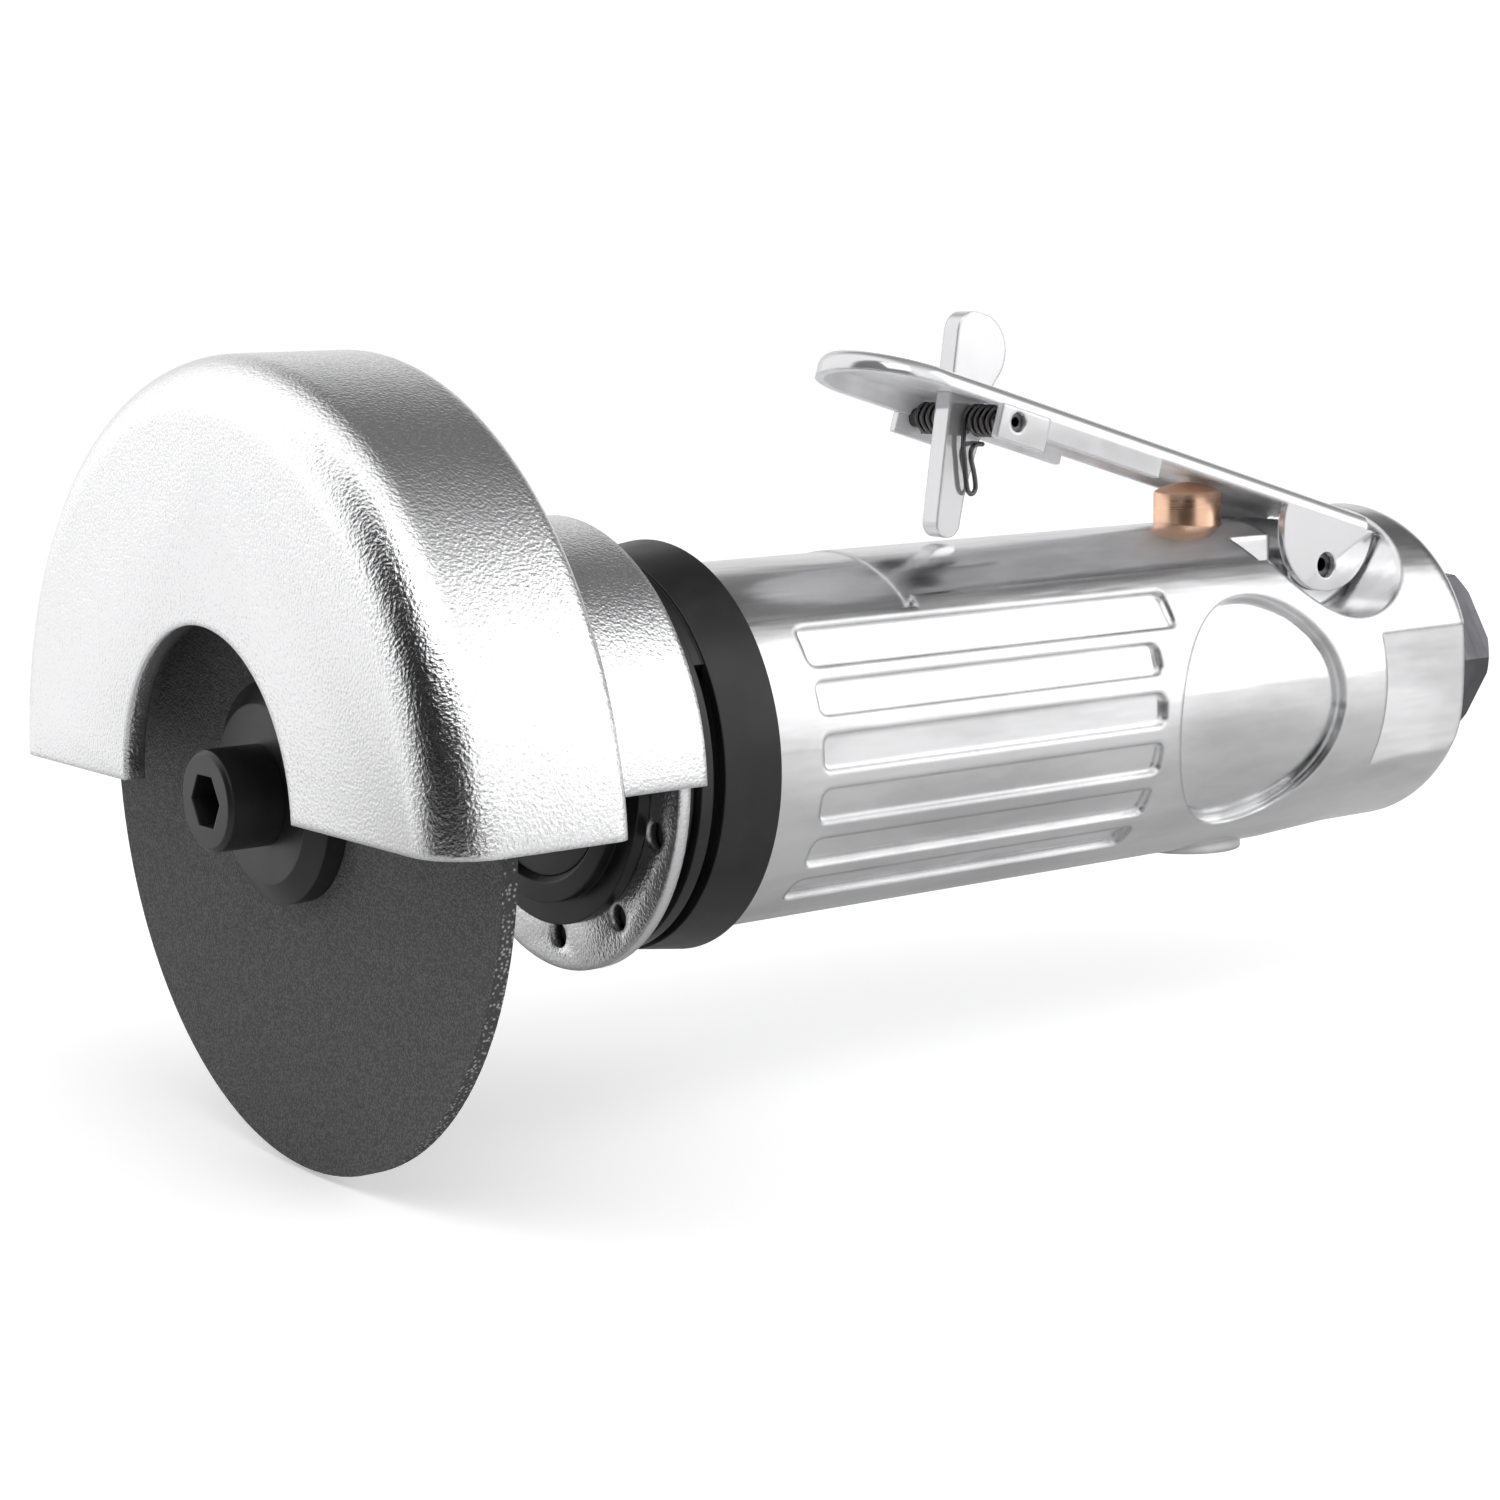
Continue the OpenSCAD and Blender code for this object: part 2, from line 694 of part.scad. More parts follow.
module wheel_screw() {
    color("dimgray") difference() {
        union() {
            turned() polygon([[0, x_screw], [screw_head_d / 2 - 0.4, x_screw],
                [screw_head_d / 2, x_screw + 0.4], [screw_head_d / 2, x_flange], [0, x_flange]]);
            rod_x(x_flange - cut, x_wheel + screw_in, screw_r);
        }
        translate([x_screw - cut, 0, 0]) rotate([0, 90, 0]) rotate([0, 0, 30])
            cylinder(h = cut + 3, r = screw_socket_w / 2 / cos(30), $fn = 6);
    }
}

// Half profile of a drum with rounded front and rear edges, turned about the axis
module drum(x0, x1, r, round0, round1) {
    turned() {
        translate([0, x0 + round0]) square([r, x1 - x0 - round0 - round1]);
        translate([0, x0]) square([r - round0, x1 - x0]);
        translate([0, x1 - round1 - 0.01]) square([r - round1, round1 + 0.01]);
        translate([r - round0, x0 + round0]) circle(round0, $fn = 64);
        translate([r - round1, x1 - round1]) circle(round1, $fn = 48);
    }
}

module guard() {
    guard_r = wheel_d / 2 + guard_gap + guard_wall;
    neck_r = guard_neck_d / 2;
    inner_front_round = guard_front_round - guard_wall;
    inner_rear_round = max(guard_rear_round - guard_wall, 0.3);
    color("gainsboro") difference() {
        union() {
            intersection() {
                difference() {
                    union() {
                        translate([0, 0, -guard_drop])
                            drum(x_guard, x_guard_rear, guard_r, guard_front_round, guard_rear_round);
                        rod_x(x_guard_rear - guard_rear_round - cut, x_disc_rear, neck_r);
                    }
                    translate([0, 0, -guard_drop])
                        drum(x_guard + guard_wall, x_guard_rear - guard_wall, guard_r - guard_wall,
                            inner_front_round, inner_rear_round);
                    rod_x(x_guard_rear - guard_wall - cut, x_disc, neck_r - guard_wall);
                    rod_x(x_guard - cut, x_guard + guard_wall + cut, arch_d / 2);
                }
                block([x_guard - cut, -wheel_d, 0], [x_disc_rear, wheel_d, wheel_d]);
            }
            rod_x(x_disc, x_disc_rear, disc_d / 2);
        }
        rod_x(x_disc - cut, x_disc_rear + cut, nose_d / 2 + 0.1);
        for (i = [0 : index_count - 1])
            rotate([i * 360 / index_count, 0, 0])
                translate([0, 0, index_circle_d / 2])
                rod_x(x_disc - cut, x_disc_rear + cut, index_hole_d / 2);
    }
}

module guard_nut() {
    flat_w = nut_sleeve_d - 2.2;
    color("dimgray") difference() {
        union() {
            rod_x(x_nut_step, x_nut_rear, nut_flange_d / 2);
            intersection() {
                rod_x(x_nut, x_nut_step + 0.2, nut_sleeve_d / 2);
                rotate([38, 0, 0]) block([x_nut - cut, -nut_sleeve_d, -flat_w / 2], [x_nut_step + cut,
                    nut_sleeve_d, flat_w / 2]);
            }
        }
        rod_x(x_nut - cut, x_nut_rear + cut, nose_d / 2 + seat_gap);
        turned() polygon([[0, x_nut - 0.5], [nose_d / 2 + 1.2, x_nut - 0.5],
            [nose_d / 2 - 0.5, x_nut + 1.2], [0, x_nut + 1.2]]);
    }
}

module inlet_bushing() {
    chamfer = 1.2;
    corner_r = bush_r / cos(30);
    color("dimgray") difference() {
        union() {
            intersection() {
                translate([x_rear, 0, 0]) rotate([0, 90, 0]) rotate([0, 0, 30])
                    cylinder(h = bush_proud, r = corner_r, $fn = 6);
                turned() polygon([[0, x_rear], [corner_r, x_rear], [corner_r, -chamfer],
                    [bush_r + 0.5, 0], [0, 0]]);
            }
            rod_x(x_rear - bush_spigot_len, x_rear + cut, spigot_r);
        }
        rod_x(-inlet_bore_len, cut, inlet_r);
        rod_x(x_rear - bush_spigot_len - cut, -inlet_bore_len + cut, inlet_r - 1.4);
    }
}

module inlet_seal() {
    color("black") tube_x(x_rear - seal_t, x_rear, seal_r, spigot_r + seat_gap);
}

module inlet_screen() {
    x_screen = x_rear - bush_spigot_len - screen_t;
    color("lightgray") difference() {
        rod_x(x_screen, x_screen + screen_t, spigot_r - 0.1);
        for (i = [0 : 5])
            rotate([i * 60, 0, 0]) translate([0, 0, 2.4]) rod_x(x_screen - cut, x_screen + 2 * cut, 0.8);
    }
}

// Places things in the lever's own frame: its pivot is the origin and -X runs along the lever
module lever_frame() {
    translate([x_pivot, 0, pivot_h]) rotate([0, lever_angle, 0]) children();
}

// Cross-section of a slab with rounded upper edges
module slab_section(half, top, bend, low) {
    translate([-half, low]) square([2 * half, top - bend - low]);
    translate([bend - half, low]) square([2 * (half - bend), top - low]);
    for (side = [-1, 1])
        translate([side * (half - bend), top - bend]) circle(bend, $fn = 48);
}

// Slab along the lever with a round front end
module lever_slab(half, top, bend, low) {
    translate([lever_half - lever_reach, 0, 0]) {
        rotate_extrude() difference() {
            slab_section(half, top, bend, low);
            translate([-2 * half, low - cut]) square([2 * half, top - low + 2 * cut]);
        }
        rotate([90, 0, 90]) linear_extrude(lever_reach - lever_half + plate_tail)
            slab_section(half, top, bend, low);
    }
}
lever_tail = 7.2;
plate_tail = 5.8;

// Piece of a side wall along the lever, on both sides, with the given lower edge
module side_walls(x0, x1, low, half) {
    for (side = [-1, 1])
        scale([1, side, 1]) block([x0, half - lever_t, low], [x1, half, lever_top - lever_bend]);
}

module throttle_lever() {
    window_front = -30.2;
    ear_front = -catch_ahead - 2.6;
    ear_rear = -catch_ahead + 4.6;
    ear_low = catch_up - 2.3;
    ear_half = lever_half + 0.25;
    lip_low = lever_top - lever_bend - 0.2;
    paddle_low = lever_top - paddle_wall_h;
    edge_slope = atan((lip_low - paddle_low) / lever_w);
    color("gainsboro") lever_frame() difference() {
        union() {
            // Pressed sheet: the lower edge of its wall slopes from a lip on the -Y side down
            // to the +Y side, and both sides are a lip over the valve and the pivot
            difference() {
                lever_slab(lever_half, lever_top, lever_bend, paddle_low);
                lever_slab(lever_in, lever_under, lever_bend - lever_t, paddle_low - cut);
                block([window_front, -lever_w, paddle_low - cut], [lever_tail + cut, lever_w, lip_low]);
                translate([0, -lever_half, lip_low]) rotate([-edge_slope, 0, 0])
                    block([-lever_reach - cut, -lever_w, -lever_w], [window_front, 2 * lever_w, 0]);
            }
            // Deeper wall behind the catch, on the -Y side only
            block([ear_rear - cut, -lever_half, lever_top - lever_wall_h],
                [window_front, -lever_in, lever_top - lever_bend]);
            // Catch ears, pivot ears and the lip behind the sheet
            side_walls(ear_front, ear_rear, ear_low, ear_half);
            side_walls(plate_tail - cut, lever_tail, lip_low, lever_half);
            intersection() {
                translate([-0.93, 0, 4.52]) rotate([90, 0, 0])
                    cylinder(h = lever_w, r = 7.8, center = true);
                side_walls(-3 * lever_top, lever_tail + cut, -3 * lever_top, lever_half);
            }
        }
        // Slot for the catch, and the holes for both pins
        block([-catch_ahead - 4.3, -catch_half - 0.4, lever_under - cut],
            [-catch_ahead + 11.9, catch_half + 0.4, lever_top + cut]);
        rod_y(0, 0, -lever_w, lever_w, pin_r + run_gap);
        rod_y(-catch_ahead, catch_up, -lever_w, lever_w, catch_pin_r + seat_gap);
    }
}

module lever_pin() {
    pin_half = lever_half - 0.9;
    color("dimgray") difference() {
        rod_y(x_pivot, pivot_h, -pin_half, pin_half, pin_r);
        rod_y(x_pivot, pivot_h, -pin_half - cut, pin_half + cut, pin_r * 0.55);
    }
}

module throttle_plunger() {
    dome_r = (plunger_r * plunger_r + plunger_dome * plunger_dome) / 2 / plunger_dome;
    groove_low = plunger_low + 1.2;
    color("sandybrown") difference() {
        union() {
            valve_rod(plunger_low, plunger_h, plunger_r);
            intersection() {
                translate([x_valve, 0, plunger_h + plunger_dome - dome_r]) sphere(dome_r);
                valve_rod(plunger_h - cut, plunger_h + 2 * plunger_dome, plunger_r);
            }
        }
        difference() {
            valve_rod(groove_low, groove_low + 1, plunger_r + cut);
            valve_rod(groove_low - cut, groove_low + 2, plunger_r - 0.9);
        }
    }
}

// A round seal ring on the valve's axis
module seal_ring(z, r_mean, r_wire) {
    translate([x_valve, 0, z]) rotate_extrude() translate([r_mean, 0]) circle(r_wire, $fn = 32);
}

module plunger_seal() {
    color("black") seal_ring(plunger_low + 1.7, plunger_r - 0.47, 0.42);
}

module valve_stem() {
    color("silver") union() {
        valve_rod(seat_low - lift_gap - head_t, seat_low - lift_gap, valve_bore_r - 0.9);
        valve_rod(seat_low - head_t, plunger_low, stem_r);
    }
}

module valve_seat() {
    color("goldenrod") difference() {
        valve_rod(seat_low, seat_top, valve_bore_r - seat_gap);
        valve_rod(seat_low - cut, seat_top + cut, stem_r + 1.2);
    }
}

module valve_plug() {
    color("dimgray") difference() {
        valve_rod(-boss_drop, plug_top, valve_bore_r - seat_gap);
        translate([x_valve, 0, -boss_drop - cut]) cylinder(h = 3 + cut, r = 2.3, $fn = 6);
        difference() {
            valve_rod(plug_top - 2, plug_top - 1, valve_bore_r + cut);
            valve_rod(plug_top - 3, plug_top, valve_bore_r - 0.95);
        }
    }
}

module plug_seal() {
    color("black") seal_ring(plug_top - 1.5, valve_bore_r - 0.5, 0.42);
}

// Sweep of a round wire along points, as one closed tube
function unit(v) = v / norm(v);
function tangent(p, i) = unit(p[min(i + 1, len(p) - 1)] - p[max(i - 1, 0)]);
function square_to(v, t) = unit(v - (v * t) * t);
function normals(p, first) = [for (i = 0, n = square_to(first, tangent(p, 0)); i < len(p);
    i = i + 1, n = i < len(p) ? square_to(n, tangent(p, i)) : n) n];
module wire(p, r, first, sides = 6) {
    n = normals(p, first);
    last = len(p) - 1;
    rim = [for (i = [0 : last]) for (k = [0 : sides - 1])
        let (a = 360 * k / sides, b = cross(tangent(p, i), n[i]))
        p[i] + r * (cos(a) * n[i] + sin(a) * b)];
    sides_faces = [for (i = [0 : last - 1]) for (k = [0 : sides - 1])
        let (k1 = (k + 1) % sides, a = i * sides)
        for (f = [[a + k, a + sides + k, a + k1], [a + k1, a + sides + k, a + sides + k1]]) f];
    start_cap = [for (k = [1 : sides - 2]) [0, k, k + 1]];
    end_cap = [for (k = [1 : sides - 2]) [last * sides, last * sides + k + 1, last * sides + k]];
    polyhedron(points = rim, faces = concat(sides_faces, start_cap, end_cap));
}

// Least gap between stretches of a wire that are more than half a turn apart along it
function self_gap(p, d, skip = 6) = min([for (i = [0 : len(p) - 1 - skip])
    for (j = [i + skip : 1 : len(p) - 1]) norm(p[i] - p[j])]) - d;

rings_per_turn = 8;
valve_wire_d = 0.7;
valve_turns = 7;
valve_spring_r = valve_bore_r - 1.5;
valve_spring_low = plug_top + valve_wire_d / 2 + 0.02;
valve_spring_high = seat_low - lift_gap - head_t - valve_wire_d / 2 - 0.02;
valve_spring_path = [for (i = [0 : valve_turns * rings_per_turn])
    let (a = 360 * i / rings_per_turn, u = i / (valve_turns * rings_per_turn))
    [x_valve + valve_spring_r * cos(a), valve_spring_r * sin(a),
        valve_spring_low + u * (valve_spring_high - valve_spring_low)]];

module valve_spring() {
    color("gray") wire(valve_spring_path, valve_wire_d / 2, [1, 0, 0]);
}

// Places things in the catch's own frame: its pin is the origin and Z runs up its straight edge
module catch_frame() {
    translate([x_catch, 0, z_catch]) rotate([0, catch_lean, 0]) children();
}

// Side view of the catch: a D-shaped thumb tab on a tapered leg with a round tip
catch_edge = -3.3;
catch_tip_r = 1.7;
catch_tab_r = 4.4;
catch_tab_h = 7.6;
function arc(x, y, r, from, to, n) = [for (i = [0 : n])
    let (a = from + (to - from) * i / n) [x + r * cos(a), y + r * sin(a)]];
module catch_outline() {
    tab_x = -0.35;
    crown_r = 2.3;
    polygon(concat(
        arc(catch_edge + catch_tip_r, -catch_leg, catch_tip_r, 180, 360, 12),
        [[0.3, -8.8], [0.7, -6.4], [1.5, -2.6]],
        arc(0, 0, 2.6, -50, 50, 8),
        arc(tab_x, catch_tab_h, catch_tab_r, -38, 72, 14),
        arc(catch_edge + crown_r, catch_tab_h + catch_tab_r - crown_r, crown_r, 90, 180, 8)));
}

module lock_off_catch() {
    color("gainsboro") catch_frame() difference() {
        rotate([90, 0, 0]) translate([0, 0, -catch_half]) linear_extrude(catch_t) catch_outline();
        rod_y(0, 0, -catch_t, catch_t, catch_pin_r + run_gap);
    }
}

module catch_pin() {
    pin_half = lever_half - 0.3;
    color("dimgray") lever_frame() difference() {
        rod_y(-catch_ahead, catch_up, -pin_half, pin_half, catch_pin_r);
        rod_y(-catch_ahead, catch_up, -pin_half - cut, pin_half + cut, catch_pin_r * 0.5);
    }
}

// Catch spring: a coil on each side of the catch, joined by a hairpin that lies behind the leg
coil_turns = 5;
coil_r = catch_pin_r + 0.2 + catch_wire_d / 2;
coil_in = catch_half + 0.75;
function coil_point(i, side, first) = let (a = first + 360 * i / rings_per_turn, u = i / rings_per_turn)
    [coil_r * cos(a), side * (coil_in + u * catch_wire_pitch), -coil_r * sin(a)];
near_coil = [for (i = [coil_turns * rings_per_turn : -1 : 0]) coil_point(i, -1, 180)];
far_coil = [for (i = [0 : coil_turns * rings_per_turn]) coil_point(i, 1, 90)];
hairpin = [[-1.5, -2.05, -1.5], [-1.38, -2.05, -3], [-1.05, -2.05, -4.2], [-0.77, -2.05, -5.3],
    [-0.48, -2.05, -6.4], [-0.21, -2.05, -7.35], [0.1, -2.05, -7.95], [0.55, -2.05, -8.2],
    [0.97, -2.05, -7.95], [1.1, -2.05, -7.35], [0.85, -2.05, -6.4], [0.5, -2.05, -5.5],
    [0.05, -2.05, -4.5], [-0.15, -2.05, -3.6], [0.15, -2.05, -2.85], [0.9, -2, -2.55],
    [1.8, -1.6, -2.5], [2.3, -0.7, -2.5], [2.35, 0.3, -2.45], [2.1, 1.2, -2.3], [1.4, 1.8, -2],
    [0.7, 2, -1.7]];
catch_spring_path = concat(near_coil, hairpin, far_coil);
echo(catch_spring_gap = self_gap(catch_spring_path, catch_wire_d));
echo(valve_spring_gap = self_gap(valve_spring_path, valve_wire_d));

module catch_spring() {
    color("dimgray") catch_frame() wire(catch_spring_path, catch_wire_d / 2, [0, 1, 0]);
}

motor_housing();
exhaust_collar();
muffler_ring();
front_cap();
nose_seal();
bearing_spacer();
front_end_plate();
cylinder_liner();
rear_end_plate();
locating_pin();
front_outer_race();
front_inner_race();
front_ball_cage();
rear_outer_race();
rear_inner_race();
rear_ball_cage();
rotor();
rotor_vanes();
spindle();
spindle_clip();
rear_flange();
cutting_wheel();
front_flange();
wheel_screw();
guard();
guard_nut();
inlet_bushing();
inlet_seal();
inlet_screen();
throttle_lever();
lever_pin();
throttle_plunger();
plunger_seal();
valve_stem();
valve_seat();
valve_spring();
valve_plug();
plug_seal();
lock_off_catch();
catch_pin();
catch_spring();
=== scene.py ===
import json
from math import cos, pi, radians, sin

import bmesh
import bpy
from mathutils import Matrix, Vector


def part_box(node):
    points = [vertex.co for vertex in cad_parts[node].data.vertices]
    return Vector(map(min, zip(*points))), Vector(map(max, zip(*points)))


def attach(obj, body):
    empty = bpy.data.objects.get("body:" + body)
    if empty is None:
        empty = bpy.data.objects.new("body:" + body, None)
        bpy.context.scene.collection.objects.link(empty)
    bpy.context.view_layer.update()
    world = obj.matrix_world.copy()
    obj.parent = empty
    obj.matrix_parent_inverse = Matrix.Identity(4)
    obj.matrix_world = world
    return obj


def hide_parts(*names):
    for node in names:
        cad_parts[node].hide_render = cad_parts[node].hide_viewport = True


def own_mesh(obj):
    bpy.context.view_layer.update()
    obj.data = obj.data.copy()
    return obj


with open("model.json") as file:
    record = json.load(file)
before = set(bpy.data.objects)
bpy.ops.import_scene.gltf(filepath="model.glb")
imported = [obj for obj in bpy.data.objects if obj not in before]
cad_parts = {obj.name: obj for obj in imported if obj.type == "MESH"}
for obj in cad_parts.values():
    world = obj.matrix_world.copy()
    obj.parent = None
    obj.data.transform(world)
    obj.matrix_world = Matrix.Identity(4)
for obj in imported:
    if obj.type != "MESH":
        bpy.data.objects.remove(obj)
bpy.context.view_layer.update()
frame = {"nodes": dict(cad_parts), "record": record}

bl_info = {
    "name": "Cut-off grinder dressing",
    "version": (1, 0, 0),
    "blender": (4, 5, 0),
    "location": "View3D > Sidebar > Grinder",
    "description": "Finishes an air cut-off grinder round its packed frame",
    "category": "Object",
}

MM = 0.001
NODES = frame["nodes"]

# Farthest that two vertices of a CAD mesh lie apart and are still one
WELD_DISTANCE = 0.000002
# Steepest bend between two CAD triangles that are still one flat face
FLAT_BEND = radians(0.5)
# Numbers of the colour sockets of a Mix node
MIX_FIRST = 6
MIX_SECOND = 7
MIX_RESULT = 2
# Point that the lamps look at, in the middle of the tool
LAMP_AIM = (-0.09, 0, 0)
# Way to the dark patch behind the camera
PATCH_WAY = (-0.885, -0.46, 0.07)
# Brightness of the studio round the X axis, as turn and level
STUDIO_STRIPS = [(0.0, 0.62), (0.36, 0.5), (0.47, 0.86), (0.60, 0.98), (0.655, 0.78),
                 (0.70, 0.38), (0.755, 0.14), (0.82, 0.10), (0.88, 0.22), (0.915, 0.62),
                 (1.0, 0.7)]
# Brightness of the studio from away from the patch to its middle, as nearness and level
PATCH_EDGE = [(0.0, 1.0), (0.60, 1.0), (0.75, 0.01), (1.0, 0.01)]


# Shader helpers. Every pattern reads Object coordinates, so it stays put on its piece.

class Recipe:
    """A material under construction, with its shader and its object coordinates."""

    def __init__(self, name):
        self.material = bpy.data.materials.new(name)
        self.material.use_nodes = True
        self.tree = self.material.node_tree
        self.shader = self.tree.nodes["Principled BSDF"]
        self.place = self.add("ShaderNodeTexCoord").outputs["Object"]

    def add(self, kind, **values):
        made = self.tree.nodes.new(kind)
        for key, value in values.items():
            setattr(made, key, value)
        return made

    def link(self, output, target):
        self.tree.links.new(output, target)

    def math(self, operation, *values):
        made = self.add("ShaderNodeMath", operation=operation)
        for socket, value in zip(made.inputs, values):
            if isinstance(value, bpy.types.NodeSocket):
                self.link(value, socket)
            else:
                socket.default_value = value
        return made.outputs[0]

    def set(self, **values):
        for key, value in values.items():
            self.shader.inputs[key.replace("_", " ")].default_value = value

    def stretched(self, scale):
        mapping = self.add("ShaderNodeMapping")
        mapping.inputs["Scale"].default_value = scale
        self.link(self.place, mapping.inputs["Vector"])
        return mapping.outputs["Vector"]

    def noise(self, scale, detail=3.0, vector=None, roughness=0.5):
        texture = self.add("ShaderNodeTexNoise")
        texture.inputs["Scale"].default_value = scale
        texture.inputs["Detail"].default_value = detail
        texture.inputs["Roughness"].default_value = roughness
        self.link(vector or self.place, texture.inputs["Vector"])
        return texture.outputs["Fac"]

    def cells(self, scale):
        texture = self.add("ShaderNodeTexVoronoi")
        texture.inputs["Scale"].default_value = scale
        self.link(self.place, texture.inputs["Vector"])
        return texture.outputs["Distance"]

    def spread(self, value, low, high, start=0.3, stop=0.7):
        span = self.add("ShaderNodeMapRange")
        span.inputs["From Min"].default_value = start
        span.inputs["From Max"].default_value = stop
        span.inputs["To Min"].default_value = low
        span.inputs["To Max"].default_value = high
        self.link(value, span.inputs["Value"])
        return span.outputs["Result"]

    def colours(self, value, first, second, start=0.3, stop=0.7):
        ramp = self.add("ShaderNodeValToRGB")
        ramp.color_ramp.elements[0].position = start
        ramp.color_ramp.elements[0].color = (*first, 1)
        ramp.color_ramp.elements[1].position = stop
        ramp.color_ramp.elements[1].color = (*second, 1)
        self.link(value, ramp.inputs["Fac"])
        self.link(ramp.outputs["Color"], self.shader.inputs["Base Color"])

    def rim_colours(self, value, first, second):
        """Other colours where the surface faces away from the X axis, as a wheel's rim does."""
        split = self.add("ShaderNodeSeparateXYZ")
        self.link(self.place.node.outputs["Normal"], split.inputs[0])
        along = self.math("ABSOLUTE", split.outputs["X"])
        face = self.shader.inputs["Base Color"].links[0].from_socket
        self.colours(value, first, second, 0.15, 0.45)
        rim = self.shader.inputs["Base Color"].links[0].from_socket
        blend = self.add("ShaderNodeMix", data_type="RGBA")
        self.link(self.spread(along, 0.0, 1.0), blend.inputs["Factor"])
        self.link(rim, blend.inputs[MIX_FIRST])
        self.link(face, blend.inputs[MIX_SECOND])
        self.link(blend.outputs[MIX_RESULT], self.shader.inputs["Base Color"])

    def round_edges(self, radius):
        rounding = self.add("ShaderNodeBevel", samples=6)
        rounding.inputs["Radius"].default_value = radius
        return rounding.outputs["Normal"]

    def bump(self, height, strength, distance, normal=None):
        relief = self.add("ShaderNodeBump")
        relief.inputs["Strength"].default_value = strength
        relief.inputs["Distance"].default_value = distance
        self.link(height, relief.inputs["Height"])
        if normal:
            self.link(normal, relief.inputs["Normal"])
        return relief.outputs["Normal"]

    def finish(self, normal=None):
        if normal:
            self.link(normal, self.shader.inputs["Normal"])
        return self.material


def polished_aluminium(colour):
    """Hand-polished casting: bright, with faint lengthwise buffing lines and soft waves."""
    made = Recipe("polished aluminium")
    made.set(Metallic=1.0)
    cloud = made.noise(130, 5, made.stretched((0.3, 1, 1)), 0.6)
    made.colours(cloud, [c * 0.8 for c in colour], colour, 0.36, 0.6)
    lines = made.noise(420, 3, made.stretched((0.05, 1, 1)))
    made.link(made.spread(lines, 0.13, 0.24), made.shader.inputs["Roughness"])
    waves = made.noise(150, 3, made.stretched((0.16, 1, 1)))
    soft = made.bump(waves, strength=0.38, distance=0.0006, normal=made.round_edges(0.0009))
    return made.finish(made.bump(lines, strength=0.1, distance=0.0002, normal=soft))


def blasted_aluminium(colour):
    """Bead-blasted casting: pale, with a fine grain all over and slightly darker pits."""
    made = Recipe("blasted aluminium")
    made.set(Metallic=1.0)
    grain = made.noise(3000, 2, roughness=0.45)
    made.colours(grain, [c * 0.9 for c in colour], colour, 0.3, 0.5)
    made.link(made.spread(grain, 0.26, 0.16), made.shader.inputs["Roughness"])
    broad = made.bump(made.noise(300, 2), strength=0.04, distance=0.0005,
                      normal=made.round_edges(0.0009))
    return made.finish(made.bump(grain, strength=0.42, distance=0.0002, normal=broad))


def black_oxide(name, colour, low, high):
    """Blackened steel or anodised ring with a satin, turned surface."""
    made = Recipe(name)
    made.set(Metallic=0.0, Specular_IOR_Level=0.5)
    rings = made.noise(2200, 2, made.stretched((1, 0.04, 0.04)))
    wear = made.noise(170, 4)
    made.colours(wear, colour, [c * 1.7 + 0.004 for c in colour], 0.45, 0.85)
    made.link(made.spread(wear, low, high), made.shader.inputs["Roughness"])
    return made.finish(made.bump(rings, strength=0.12, distance=0.0001,
                                 normal=made.round_edges(0.00025)))


def bright_chrome(colour):
    """Chrome plate over pressed sheet, with a trace of polishing waviness."""
    made = Recipe("bright chrome")
    made.set(Metallic=0.68, Specular_IOR_Level=0.8)
    wave = made.noise(90, 2)
    made.colours(wave, [c * 0.96 for c in colour], colour)
    made.link(made.spread(made.noise(500, 3), 0.05, 0.10), made.shader.inputs["Roughness"])
    return made.finish(made.bump(wave, strength=0.06, distance=0.0004,
                                 normal=made.round_edges(0.00045)))


def satin_inside_painted_light(colour):
    """Unpolished inner side of the plated sheet: satin and cloudy, and lighter than the chrome as
    painted light against the shade under the sheet.
    """
    made = Recipe("satin inside with painted light")
    made.set(Metallic=0.2)
    cloud = made.noise(330, 4)
    # Painted light: the colour is raised to 1.1 to 1.35 times the chrome's, to lighten faces that
    # sit in the shade under the lever's sheet
    made.colours(cloud, [c * 1.1 for c in colour], [c * 1.35 for c in colour])
    made.link(made.spread(cloud, 0.42, 0.3), made.shader.inputs["Roughness"])
    return made.finish(made.bump(cloud, strength=0.15, distance=0.0002))


def turned_metal(name, colour, low, high, darker=0.7, axis=(1, 0.05, 0.05), lines=0.15):
    """Lathe-turned metal with fine lines round its axis and a light tarnish."""
    made = Recipe(name)
    made.set(Metallic=1.0)
    tarnish = made.noise(240, 4)
    made.colours(tarnish, [c * darker for c in colour], colour, 0.35, 0.65)
    rings = made.noise(1500, 2, made.stretched(axis))
    made.link(made.spread(rings, low, high), made.shader.inputs["Roughness"])
    return made.finish(made.bump(rings, strength=lines, distance=0.0001,
                                 normal=made.round_edges(0.0002)))


def abrasive_sheet(colour):
    """Resin-bonded grit: matt, speckled, with the weave of the cloth showing faintly."""
    made = Recipe("bonded grit")
    made.set(Specular_IOR_Level=0.35)
    grit = made.cells(3600)
    made.colours(grit, [c * 1.6 for c in colour], [c * 0.8 for c in colour], 0.1, 0.6)
    made.rim_colours(made.cells(2400), [c * 3.2 for c in colour], [c * 0.5 for c in colour])
    made.link(made.spread(made.noise(900, 3), 0.62, 0.85), made.shader.inputs["Roughness"])
    weave = made.add("ShaderNodeTexWave", bands_direction="Y")
    weave.inputs["Scale"].default_value = 190
    weave.inputs["Distortion"].default_value = 1.2
    made.link(made.place, weave.inputs["Vector"])
    base = made.bump(weave.outputs["Fac"], strength=0.08, distance=0.0002)
    return made.finish(made.bump(grit, strength=0.5, distance=0.0003, normal=base))


